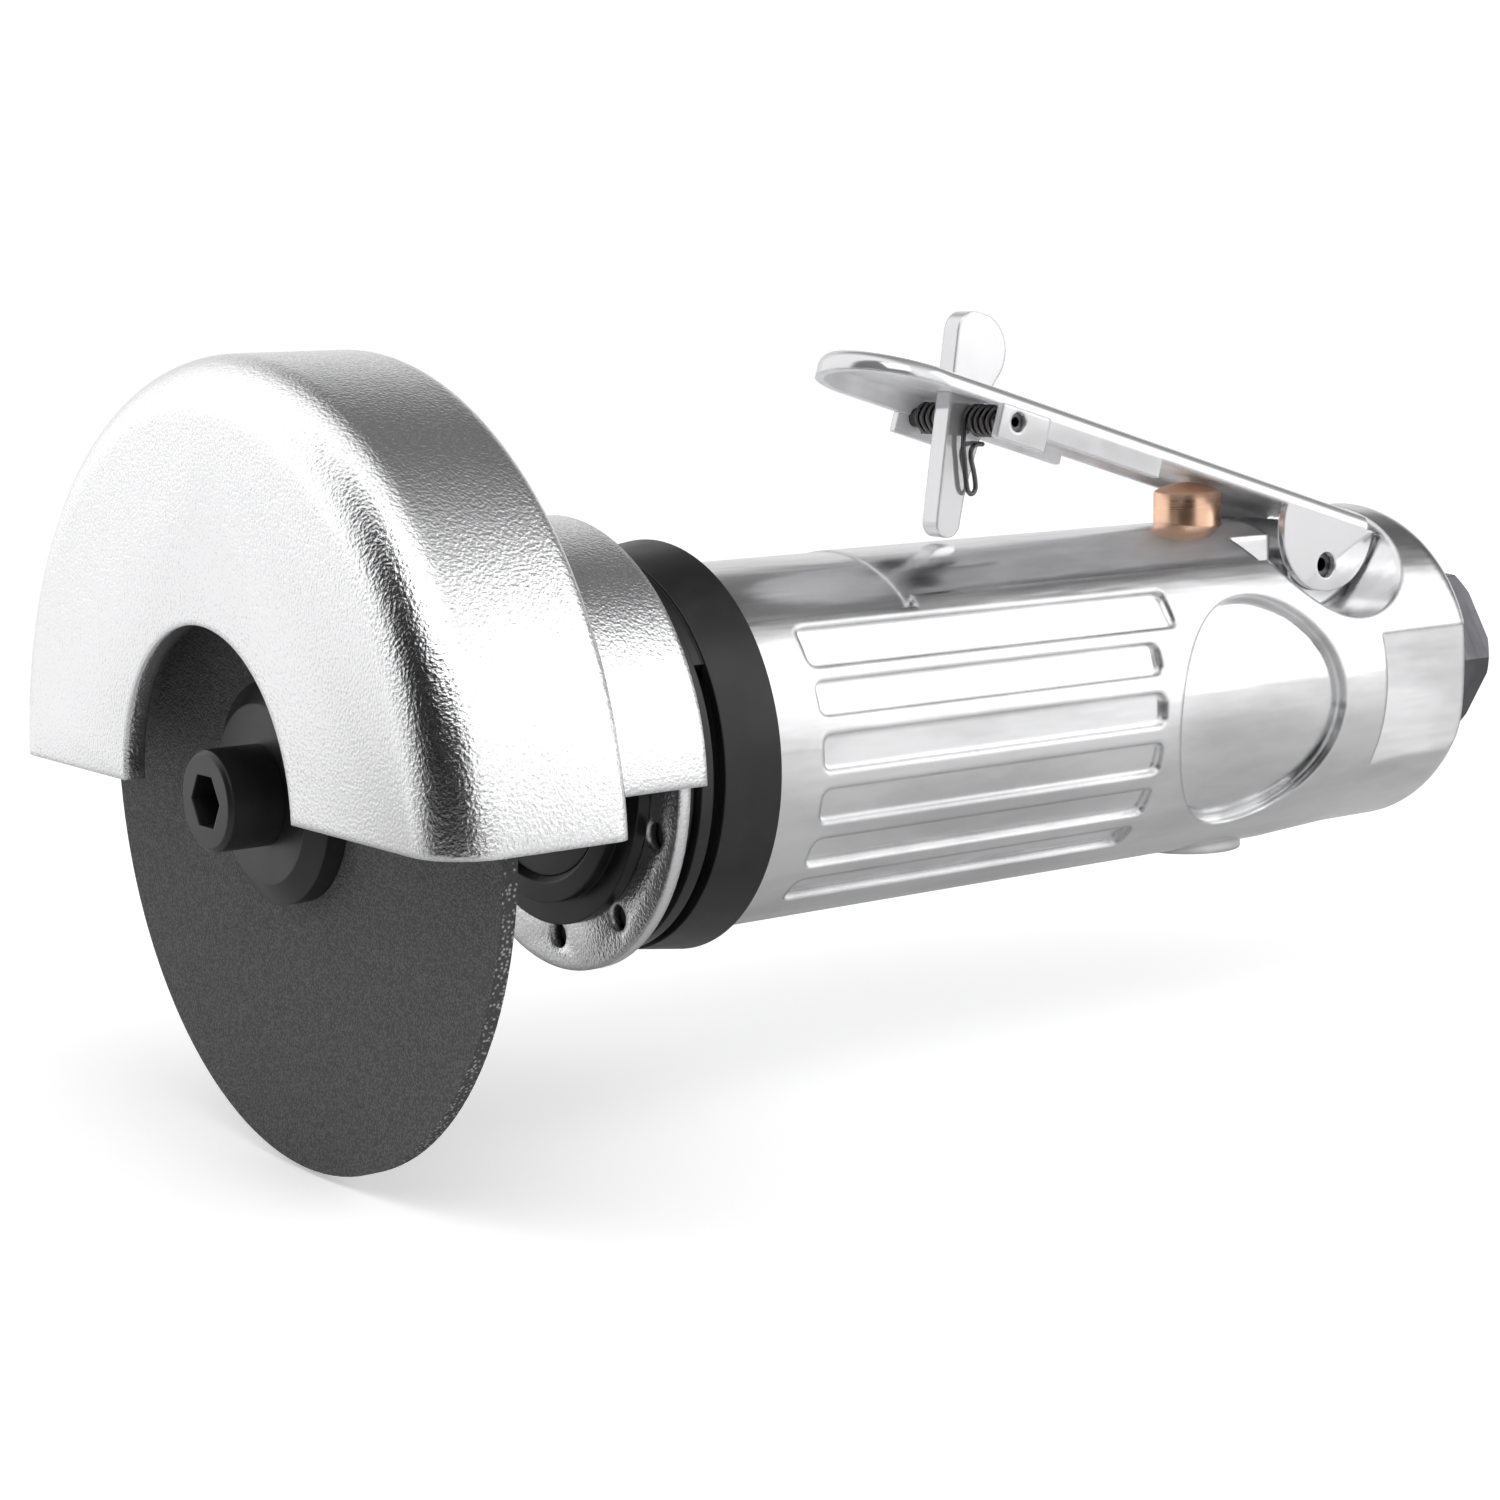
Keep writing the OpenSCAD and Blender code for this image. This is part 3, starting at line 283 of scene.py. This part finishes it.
def plain_matt(name, colour, rough):
    """Rubber, felt or fibre with a faint mottle."""
    made = Recipe(name)
    mottle = made.noise(700, 4)
    made.colours(mottle, [c * 0.75 for c in colour], colour)
    made.link(made.spread(mottle, rough, rough * 0.85), made.shader.inputs["Roughness"])
    return made.finish(made.bump(mottle, strength=0.2, distance=0.0002))


MATERIALS = {}


def finishes(group):
    """Makes each finish once, from the colours in the property group."""
    if MATERIALS:
        return MATERIALS
    body, cast = tuple(group.body_colour), tuple(group.guard_colour)
    MATERIALS.update({
        "polished_aluminium": polished_aluminium(body),
        "cast_aluminium": blasted_aluminium(cast),
        "black_steel": black_oxide("black oxide", tuple(group.black_colour), 0.3, 0.42),
        "dark_steel": turned_metal("dark steel", (0.16, 0.16, 0.17), 0.3, 0.45),
        "chrome": bright_chrome(tuple(group.chrome_colour)),
        # The lever's inner faces: satin, lightened with painted light
        "satin_inside_painted_light": satin_inside_painted_light(tuple(group.chrome_colour)),
        "copper": turned_metal("copper plunger", tuple(group.plunger_colour), 0.24, 0.36, 0.85,
                               (0.04, 0.04, 1), 0.08),
        "brass": turned_metal("brass", (0.74, 0.56, 0.28), 0.2, 0.35),
        "abrasive": abrasive_sheet(tuple(group.wheel_colour)),
        "rubber": plain_matt("rubber", (0.03, 0.03, 0.03), 0.7),
        "bearing_steel": turned_metal("bearing steel", (0.6, 0.6, 0.62), 0.15, 0.25),
        "motor_steel": turned_metal("motor steel", (0.45, 0.45, 0.47), 0.25, 0.4),
        "vane_fibre": plain_matt("vane fibre", (0.28, 0.18, 0.1), 0.6),
        "felt": plain_matt("felt", (0.05, 0.05, 0.05), 0.9),
        "spring_steel": turned_metal("spring wire", (0.17, 0.165, 0.16), 0.22, 0.35),
        "mesh_steel": turned_metal("screen", (0.55, 0.55, 0.56), 0.25, 0.4),
    })
    return MATERIALS


def paint(obj, material):
    """Puts one material on every face of a piece or a CAD node."""
    if not obj.data.materials:
        obj.data.materials.append(material)
    for index in range(len(obj.data.materials)):
        obj.data.materials[index] = material


def only(obj):
    """Leaves obj as the one selected and active object."""
    bpy.ops.object.select_all(action="DESELECT")
    obj.select_set(True)
    bpy.context.view_layer.objects.active = obj


def merged_copy(node, name):
    """A copy of a CAD node's mesh with its doubles merged and its flat faces joined."""
    made = bpy.data.objects.new(name, NODES[node].data.copy())
    bpy.context.scene.collection.objects.link(made)
    only(made)
    bpy.ops.object.mode_set(mode="EDIT")
    bpy.ops.mesh.select_all(action="SELECT")
    bpy.ops.mesh.remove_doubles(threshold=WELD_DISTANCE)
    bpy.ops.mesh.dissolve_limited(angle_limit=FLAT_BEND)
    bpy.ops.mesh.customdata_custom_splitnormals_clear()
    bpy.ops.object.mode_set(mode="OBJECT")
    return made


def rounded(node, name, width, segments=3, angle=32):
    """A copy of a CAD node with its sharp edges rounded, which stands for the node."""
    made = merged_copy(node, name)
    bevel = made.modifiers.new("Rounding", "BEVEL")
    bevel.width = width
    bevel.segments = segments
    bevel.limit_method = "ANGLE"
    bevel.angle_limit = radians(angle)
    bevel.miter_outer = "MITER_ARC"
    bpy.ops.object.modifier_apply(modifier="Rounding")
    bpy.ops.object.shade_smooth_by_angle(angle=radians(40))
    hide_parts(node)
    return made


def level_shading(made):
    """Shades the broad faces of a pressed piece flat up to their rounded edges."""
    only(made)
    made.modifiers.new("Flat faces", "WEIGHTED_NORMAL").keep_sharp = True
    bpy.ops.object.modifier_apply(modifier="Flat faces")


def settle(obj, node, slot):
    """Rides a new piece on its CAD node's body and gives it the slot's finish."""
    body = next(b for b, names in frame["record"]["behaviour"]["bodies"].items() if node in names)
    paint(obj, MATERIALS[slot])
    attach(obj, body)


def dress_nodes(names):
    """Gives CAD nodes the finish of their slot."""
    slots = {s["node"]: s["material_slot"] for s in frame["record"]["subparts"]}
    for name in names:
        paint(NODES[name], MATERIALS[slots[name]])


def joint(name):
    """What the frame's record says of a joint."""
    return next(row for row in frame["record"]["behaviour"]["joints"] if row["name"] == name)


def curve_through(corners, steps):
    """Points of a smooth curve through the corners."""
    points = []
    for i in range(1, len(corners) - 2):
        before, start, end, after = corners[i - 1:i + 3]
        for k in range(steps):
            t = k / steps
            points.append(0.5 * (2 * start + (end - before) * t
                                 + (2 * before - 5 * start + 4 * end - after) * t * t
                                 + (3 * start - before - 3 * end + after) * t ** 3))
    points.append(corners[-2])
    return points


def wire(name, points, radius, sides=14):
    """A round wire along the points, closed at both ends."""
    mesh = bmesh.new()
    rings = []
    along = (points[1] - points[0]).normalized()
    side = along.orthogonal().normalized()
    for i, point in enumerate(points):
        along = (points[min(i + 1, len(points) - 1)] - points[max(i - 1, 0)]).normalized()
        side = (side - side.dot(along) * along).normalized()
        up = along.cross(side)
        rings.append([mesh.verts.new(point + radius * (cos(2 * pi * k / sides) * side
                                                       + sin(2 * pi * k / sides) * up))
                      for k in range(sides)])
    for first, second in zip(rings, rings[1:]):
        for k in range(sides):
            mesh.faces.new((first[k], first[k - 1], second[k - 1], second[k]))
    mesh.faces.new(rings[0])
    mesh.faces.new(rings[-1][::-1])
    bmesh.ops.recalc_face_normals(mesh, faces=mesh.faces)
    data = bpy.data.meshes.new(name)
    mesh.to_mesh(data)
    mesh.free()
    made = bpy.data.objects.new(name, data)
    bpy.context.scene.collection.objects.link(made)
    only(made)
    bpy.ops.object.shade_smooth_by_angle(angle=radians(60))
    return made


def lathe(name, centre, profile, steps=72):
    """A solid turned round the vertical line through centre, from radius and height pairs."""
    mesh = bmesh.new()
    rings = [[mesh.verts.new((centre[0] + radius * cos(2 * pi * k / steps),
                              centre[1] + radius * sin(2 * pi * k / steps), height))
              for k in range(steps)] for radius, height in profile]
    for low, high in zip(rings, rings[1:]):
        for k in range(steps):
            mesh.faces.new((low[k - 1], low[k], high[k], high[k - 1]))
    mesh.faces.new(rings[0][::-1])
    mesh.faces.new(rings[-1])
    data = bpy.data.meshes.new(name)
    mesh.to_mesh(data)
    mesh.free()
    made = bpy.data.objects.new(name, data)
    bpy.context.scene.collection.objects.link(made)
    only(made)
    bpy.ops.object.shade_smooth_by_angle(angle=radians(30))
    return made


class FinishSettings(bpy.types.PropertyGroup):
    """Colours of the grinder's finishes"""
    body_colour: bpy.props.FloatVectorProperty(
        name="Body", description="Colour of the polished body", subtype="COLOR",
        default=(0.83, 0.83, 0.84))
    guard_colour: bpy.props.FloatVectorProperty(
        name="Guard", description="Colour of the blasted guard", subtype="COLOR",
        default=(0.90, 0.90, 0.91))
    black_colour: bpy.props.FloatVectorProperty(
        name="Black parts", description="Colour of the blackened rings", subtype="COLOR",
        default=(0.008, 0.008, 0.009))
    chrome_colour: bpy.props.FloatVectorProperty(
        name="Chrome", description="Colour of the lever and catch", subtype="COLOR",
        default=(0.72, 0.72, 0.73))
    plunger_colour: bpy.props.FloatVectorProperty(
        name="Plunger", description="Colour of the throttle plunger", subtype="COLOR",
        default=(0.93, 0.60, 0.42))
    wheel_colour: bpy.props.FloatVectorProperty(
        name="Wheel", description="Colour of the cutting wheel", subtype="COLOR",
        default=(0.10, 0.098, 0.10))


class EdgeSettings(bpy.types.PropertyGroup):
    """Roundings of the pressed and cast pieces"""
    catch_round: bpy.props.FloatProperty(
        name="Catch edges", description="Rounding of the catch's edges",
        default=0.0007, unit="LENGTH")
    lever_round: bpy.props.FloatProperty(
        name="Lever edges", description="Rounding of the lever's cut edges",
        default=0.0002, unit="LENGTH")
    dome: bpy.props.FloatProperty(
        name="Plunger dome", description="Height of the plunger's dome",
        default=0.0011, unit="LENGTH")
    guard_round: bpy.props.FloatProperty(
        name="Guard edges", description="Rounding of the guard's sharp edges",
        default=0.0006, unit="LENGTH")


class SpringSettings(bpy.types.PropertyGroup):
    """Sizes of the catch's torsion spring"""
    wire_radius: bpy.props.FloatProperty(
        name="Wire", description="Radius of the wire", default=0.000275, unit="LENGTH")
    coil_radius: bpy.props.FloatProperty(
        name="Coil", description="Radius of the coils to the middle of the wire",
        default=0.001575, unit="LENGTH")
    coil_inset: bpy.props.FloatProperty(
        name="Coil start", description="Distance of a coil's first turn from the middle",
        default=0.002, unit="LENGTH")
    turn_pitch: bpy.props.FloatProperty(
        name="Pitch", description="Distance between two turns", default=0.001, unit="LENGTH")
    turns: bpy.props.IntProperty(name="Turns", description="Turns of each coil", default=5)
    lean: bpy.props.FloatProperty(
        name="Lean", description="Forward lean of the catch", default=radians(8.9),
        subtype="ANGLE")


class StageSettings(bpy.types.PropertyGroup):
    """Floor and lamps"""
    floor_colour: bpy.props.FloatVectorProperty(
        name="Floor", description="Colour of the floor", subtype="COLOR",
        default=(0.95, 0.95, 0.95))
    key_power: bpy.props.FloatProperty(
        name="Key lamp", description="Power of the main softbox", default=2.2, unit="POWER")
    fill_power: bpy.props.FloatProperty(
        name="Fill lamp", description="Power of the fill softbox", default=1.0, unit="POWER")
    low_power: bpy.props.FloatProperty(
        name="Low lamp", description="Power of the low strip that lights the lever's underside",
        default=0.35, unit="POWER")


class GRINDER_OT_guard(bpy.types.Operator):
    """Finish the cast guard and its nut"""
    bl_idname = "grinder.guard"
    bl_label = "Guard"

    def execute(self, context):
        settings = context.scene.grinder_edges
        finishes(context.scene.grinder_finish)
        piece = rounded("guard", "cast_guard", settings.guard_round)
        settle(piece, "guard", "cast_aluminium")
        dress_nodes(["guard_nut"])
        return {"FINISHED"}


class GRINDER_OT_wheel(bpy.types.Operator):
    """Finish the cutting wheel, its flanges and its screw"""
    bl_idname = "grinder.wheel"
    bl_label = "Wheel"

    def execute(self, context):
        finishes(context.scene.grinder_finish)
        dress_nodes(["cutting_wheel", "front_flange", "rear_flange", "wheel_screw"])
        return {"FINISHED"}


class GRINDER_OT_body(bpy.types.Operator):
    """Finish the housing, the black rings and the air inlet"""
    bl_idname = "grinder.body"
    bl_label = "Body"

    def execute(self, context):
        finishes(context.scene.grinder_finish)
        dress_nodes(["motor_housing", "exhaust_collar", "front_cap", "inlet_bushing",
                     "inlet_seal", "inlet_screen", "muffler_ring", "valve_plug"])
        return {"FINISHED"}


class GRINDER_OT_lever(bpy.types.Operator):
    """Finish the lever, its pins, the catch and the plunger"""
    bl_idname = "grinder.lever"
    bl_label = "Lever"

    def execute(self, context):
        finishes(context.scene.grinder_finish)
        catch = rounded("lock_off_catch", "flat_catch",
                        context.scene.grinder_edges.catch_round)
        level_shading(catch)
        settle(catch, "lock_off_catch", "chrome")
        spring = self.spring(context.scene.grinder_spring)
        settle(spring, "catch_spring", "spring_steel")
        settle(self.plunger(context.scene.grinder_edges), "throttle_plunger", "copper")
        lever = rounded("throttle_lever", "pressed_lever",
                        context.scene.grinder_edges.lever_round, segments=2, angle=50)
        level_shading(lever)
        settle(lever, "throttle_lever", "chrome")
        self.inside(lever)
        dress_nodes(["lever_pin", "catch_pin"])
        return {"FINISHED"}

    def inside(self, lever):
        """Gives the faces under the lever's sheet and within its walls the unpolished satin
        finish, whose lighter colour is painted light against the shade there.
        """
        facing_down = -0.6
        facing_in = -0.0005
        low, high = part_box("throttle_lever")
        nose = Vector((low[0] + (high[1] - low[1]) / 2, 0, 0))
        lever.data.materials.append(MATERIALS["satin_inside_painted_light"])
        for face in lever.data.polygons:
            out = face.center - nose
            out = Vector((min(out.x, 0), out.y, 0))
            # Faces in the shade under the sheet or inside its walls get the lightened material:
            # painted light
            if face.normal.z < facing_down or face.normal.dot(out) < facing_in:
                face.material_index = 1

    def plunger(self, settings):
        """The domed plunger with its seal groove, turned smooth."""
        low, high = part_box("throttle_plunger")
        radius = (high[0] - low[0]) / 2
        middle = ((low[0] + high[0]) / 2, 0)
        centre_disc = 0.0003
        groove = low[2] + 0.0012
        groove_top = groove + 0.001
        groove_radius = radius - 0.0009
        corner_drop = 0.0002
        corner_inset = 0.00015
        dome_steps = 8
        dome_tip = 0.0002
        shoulder = high[2] - settings.dome
        ball = (radius ** 2 + settings.dome ** 2) / 2 / settings.dome
        profile = [(centre_disc, low[2]), (radius, low[2]), (radius, groove),
                   (groove_radius, groove), (groove_radius, groove_top),
                   (radius, groove_top), (radius, shoulder - corner_drop)]
        for i in range(dome_steps + 1):
            out = (radius - corner_inset) * (1 - i / dome_steps) + dome_tip * i / dome_steps
            profile.append((out, high[2] - ball + (ball ** 2 - out ** 2) ** 0.5))
        made = lathe("turned_plunger", middle, profile)
        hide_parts("throttle_plunger")
        return made

    def spring(self, settings):
        """Both coils and the hairpin behind the catch's leg, as one wire."""
        per_turn = 24

        def coil(side, first):
            points = []
            for i in range(settings.turns * per_turn + 1):
                angle = first + 2 * pi * i / per_turn
                out = settings.coil_inset + settings.turn_pitch * i / per_turn
                points.append(Vector((settings.coil_radius * cos(angle), side * out,
                                      -settings.coil_radius * sin(angle))))
            return points

        near = coil(-1, pi)
        far = coil(1, pi / 2)
        # Millimetres from the pin in X and Z, and shares of the coil's start in Y
        beside = -1.02
        down = [(-1.5, -1.5), (-1.38, -3), (-1.05, -4.2), (-0.77, -5.3), (-0.48, -6.4),
                (-0.21, -7.35), (0.1, -7.95), (0.55, -8.2)]
        up = [(0.97, -7.95), (1.1, -7.35), (0.85, -6.4), (0.5, -5.5), (0.05, -4.5),
              (-0.15, -3.6), (0.15, -2.85)]
        across = [(0.9, -1, -2.55), (1.8, -0.8, -2.5), (2.3, -0.35, -2.5), (2.35, 0.15, -2.45),
                  (2.1, 0.6, -2.3), (1.4, 0.9, -2), (0.7, 1, -1.7)]
        route = [(x, beside, z) for x, z in down + up] + across
        leg = [Vector((x * MM, y * settings.coil_inset, z * MM)) for x, y, z in route]
        bend = curve_through([near[2], near[0], *leg, far[0], far[2]], 4)
        path = near[:0:-1] + bend + far[1:]
        pin = Matrix.Translation(joint("catch_swing")["pos_m"])
        place = pin @ Matrix.Rotation(settings.lean, 4, "Y")
        made = wire("catch_wire", [place @ point for point in path], settings.wire_radius)
        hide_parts("catch_spring")
        return made


class GRINDER_OT_works(bpy.types.Operator):
    """Finish the motor, the bearings and the valve inside the body"""
    bl_idname = "grinder.works"
    bl_label = "Inner works"

    def execute(self, context):
        finishes(context.scene.grinder_finish)
        dress_nodes(["nose_seal", "bearing_spacer", "front_end_plate", "cylinder_liner",
                     "rear_end_plate", "locating_pin", "front_outer_race", "front_inner_race",
                     "front_ball_cage", "rear_outer_race", "rear_inner_race", "rear_ball_cage",
                     "rotor", "rotor_vanes", "spindle", "spindle_clip", "plunger_seal",
                     "valve_stem", "valve_seat", "plug_seal"])
        self.valve_spring()
        return {"FINISHED"}

    def valve_spring(self):
        """The valve's spring, which in the tool shortens by the plunger's travel; here a
        smooth-shaded copy of its node that rides on the node's body.
        """
        spring = merged_copy("valve_spring", "coiled_valve_spring")
        bpy.ops.object.shade_smooth_by_angle(angle=radians(50))
        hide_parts("valve_spring")
        settle(spring, "valve_spring", "spring_steel")
        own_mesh(spring)


class GRINDER_OT_stage(bpy.types.Operator):
    """Set the floor, the lamps and the camera"""
    bl_idname = "grinder.stage"
    bl_label = "Stage"

    def execute(self, context):
        settings = context.scene.grinder_stage
        self.floor(settings)
        self.surround()
        self.lamp("key", (-0.45, -0.55, 0.75), (0.6, 0.6), settings.key_power)
        self.lamp("fill", (0.55, -0.45, 0.35), (0.5, 0.8), settings.fill_power)
        low = self.lamp("low fill", (-0.3, -0.45, 0.0), (0.5, 0.06), settings.low_power)
        low.visible_glossy = False
        self.camera(context.scene)
        return {"FINISHED"}

    def floor(self, settings):
        """A pale floor just under the wheel, which metal reflects darker than it is."""
        below_wheel = 0.0005
        glow = 0.35
        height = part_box("cutting_wheel")[0][2] - below_wheel
        bpy.ops.object.select_all(action="DESELECT")
        bpy.ops.mesh.primitive_plane_add(size=8, location=(0, 0, height))
        plane = bpy.context.object
        plane.name = "floor"
        made = Recipe("pale floor")
        made.set(Roughness=0.9, Emission_Color=(1, 1, 1, 1))
        rays = made.add("ShaderNodeLightPath")
        split = made.add("ShaderNodeSeparateXYZ")
        made.link(made.place, split.inputs[0])
        # In reflections the floor is grey near the tool and dark towards the camera's side
        beside = made.spread(made.math("ABSOLUTE", split.outputs["Y"]), 0.62, 1.0, 0.02, 0.2)
        towards = made.add("ShaderNodeVectorMath", operation="DOT_PRODUCT")
        towards.inputs[1].default_value = (-0.8, -0.6, 0)
        made.link(made.place, towards.inputs[0])
        ahead = made.spread(towards.outputs["Value"], 1.0, 0.04, 0.2, 0.32)
        tint = made.add("ShaderNodeMix", data_type="RGBA")
        made.link(rays.outputs["Is Glossy Ray"], tint.inputs["Factor"])
        tint.inputs[MIX_FIRST].default_value = (*settings.floor_colour, 1)
        made.link(made.math("MULTIPLY", beside, ahead), tint.inputs[MIX_SECOND])
        made.link(tint.outputs[MIX_RESULT], made.shader.inputs["Base Color"])
        # It glows to the camera, and in reflections on the side away from the camera
        behind = made.spread(split.outputs["Y"], 0.0, 0.6, 0.08, 0.22)
        shine = made.math("MULTIPLY", behind, rays.outputs["Is Glossy Ray"])
        seen = made.math("ADD", rays.outputs["Is Camera Ray"], shine)
        made.link(made.math("MULTIPLY", seen, glow), made.shader.inputs["Emission Strength"])
        paint(plane, made.finish())

    def surround(self):
        """A white studio whose dark strips show as grey streaks along the tool."""
        world = bpy.data.worlds.new("studio")
        bpy.context.scene.world = world
        world.use_nodes = True
        nodes, links = world.node_tree.nodes, world.node_tree.links

        def add(kind, *inputs, **values):
            node = nodes.new(kind)
            for key, value in values.items():
                setattr(node, key, value)
            for slot, source in enumerate(inputs):
                if isinstance(source, bpy.types.NodeSocket):
                    links.new(source, node.inputs[slot])
                elif source is not None:
                    node.inputs[slot].default_value = source
            return node

        place = add("ShaderNodeTexCoord").outputs["Generated"]
        split = add("ShaderNodeSeparateXYZ", place)
        away = add("ShaderNodeMath", split.outputs["Y"], -1.0, operation="MULTIPLY")
        turn = add("ShaderNodeMath", split.outputs["Z"], away.outputs[0], operation="ARCTAN2")
        share = add("ShaderNodeMapRange", turn.outputs[0], -pi, pi)
        strips = self.ramp(add("ShaderNodeValToRGB", share.outputs[0]), STUDIO_STRIPS)
        # Plain white ahead of the wheel
        front = add("ShaderNodeMapRange", split.outputs["X"], 0.25, -0.1)
        white = add("ShaderNodeMix", front.outputs[0], data_type="RGBA")
        links.new(strips, white.inputs[MIX_FIRST])
        white.inputs[MIX_SECOND].default_value = (1, 1, 1, 1)
        # Dark patch behind the camera, which the guard's rounded edge reflects
        flat = add("ShaderNodeVectorMath", place, (1, 1, 0.55), operation="MULTIPLY")
        unit = add("ShaderNodeVectorMath", flat.outputs[0], operation="NORMALIZE")
        towards = add("ShaderNodeVectorMath", unit.outputs[0], PATCH_WAY,
                      operation="DOT_PRODUCT")
        patch = self.ramp(add("ShaderNodeValToRGB", towards.outputs["Value"]), PATCH_EDGE)
        shaded = add("ShaderNodeMix", 1.0, data_type="RGBA", blend_type="MULTIPLY")
        links.new(white.outputs[MIX_RESULT], shaded.inputs[MIX_FIRST])
        links.new(patch, shaded.inputs[MIX_SECOND])
        rays = add("ShaderNodeLightPath")
        seen = add("ShaderNodeMix", rays.outputs["Is Camera Ray"], data_type="RGBA")
        links.new(shaded.outputs[MIX_RESULT], seen.inputs[MIX_FIRST])
        seen.inputs[MIX_SECOND].default_value = (1, 1, 1, 1)
        links.new(seen.outputs[MIX_RESULT], nodes["Background"].inputs["Color"])
        nodes["Background"].inputs["Strength"].default_value = 1.25

    def ramp(self, node, steps):
        elements = node.color_ramp.elements
        while len(elements) < len(steps):
            elements.new(0.5)
        for element, (position, level) in zip(elements, steps):
            element.position = position
            element.color = (level, level, level, 1)
        return node.outputs["Color"]

    def lamp(self, name, place, size, power):
        data = bpy.data.lights.new(name, "AREA")
        data.shape = "RECTANGLE"
        data.size, data.size_y = size
        data.energy = power
        lamp = bpy.data.objects.new(name, data)
        bpy.context.scene.collection.objects.link(lamp)
        aim = Vector(LAMP_AIM) - Vector(place)
        lamp.location = place
        lamp.rotation_euler = aim.to_track_quat("-Z", "Y").to_euler()
        return lamp

    def camera(self, scene):
        data = bpy.data.cameras.new("camera")
        data.sensor_width = 36
        data.lens = 76.267
        data.clip_start = 0.01
        eye = bpy.data.objects.new("camera", data)
        scene.collection.objects.link(eye)
        turn = Matrix(((0.79838346, 0.10352185, -0.59318385),
                       (-0.60196715, 0.11298405, -0.79048729),
                       (-0.01481239, 0.98818917, 0.15252135)))
        eye.matrix_world = Matrix.Translation((-0.312395, -0.271657, 0.050580)) @ turn.to_4x4()
        scene.camera = eye
        scene.view_settings.view_transform = "Standard"


class GRINDER_PT_panel(bpy.types.Panel):
    """Shows the grinder's settings and the buttons for its finishing steps"""
    bl_label = "Grinder"
    bl_idname = "GRINDER_PT_panel"
    bl_space_type = "VIEW_3D"
    bl_region_type = "UI"
    bl_category = "Grinder"

    def draw(self, context):
        for settings in (getattr(context.scene, name) for name in GROUPS):
            for key in settings.bl_rna.properties.keys():
                if key not in ("rna_type", "name"):
                    self.layout.prop(settings, key)
        for operator in OPERATORS:
            self.layout.operator(operator.bl_idname)


GROUPS = {"grinder_finish": FinishSettings, "grinder_edges": EdgeSettings,
          "grinder_spring": SpringSettings, "grinder_stage": StageSettings}
OPERATORS = (GRINDER_OT_body, GRINDER_OT_guard, GRINDER_OT_wheel, GRINDER_OT_lever,
             GRINDER_OT_works, GRINDER_OT_stage)


def register():
    for name, group in GROUPS.items():
        bpy.utils.register_class(group)
        setattr(bpy.types.Scene, name, bpy.props.PointerProperty(type=group))
    for cls in (*OPERATORS, GRINDER_PT_panel):
        bpy.utils.register_class(cls)


def unregister():
    for cls in (GRINDER_PT_panel, *reversed(OPERATORS)):
        bpy.utils.unregister_class(cls)
    for name, group in GROUPS.items():
        delattr(bpy.types.Scene, name)
        bpy.utils.unregister_class(group)


def main():
    register()
    bpy.ops.grinder.body()
    bpy.ops.grinder.guard()
    bpy.ops.grinder.wheel()
    bpy.ops.grinder.lever()
    bpy.ops.grinder.works()
    bpy.ops.grinder.stage()


if __name__ == "__main__":
    main()
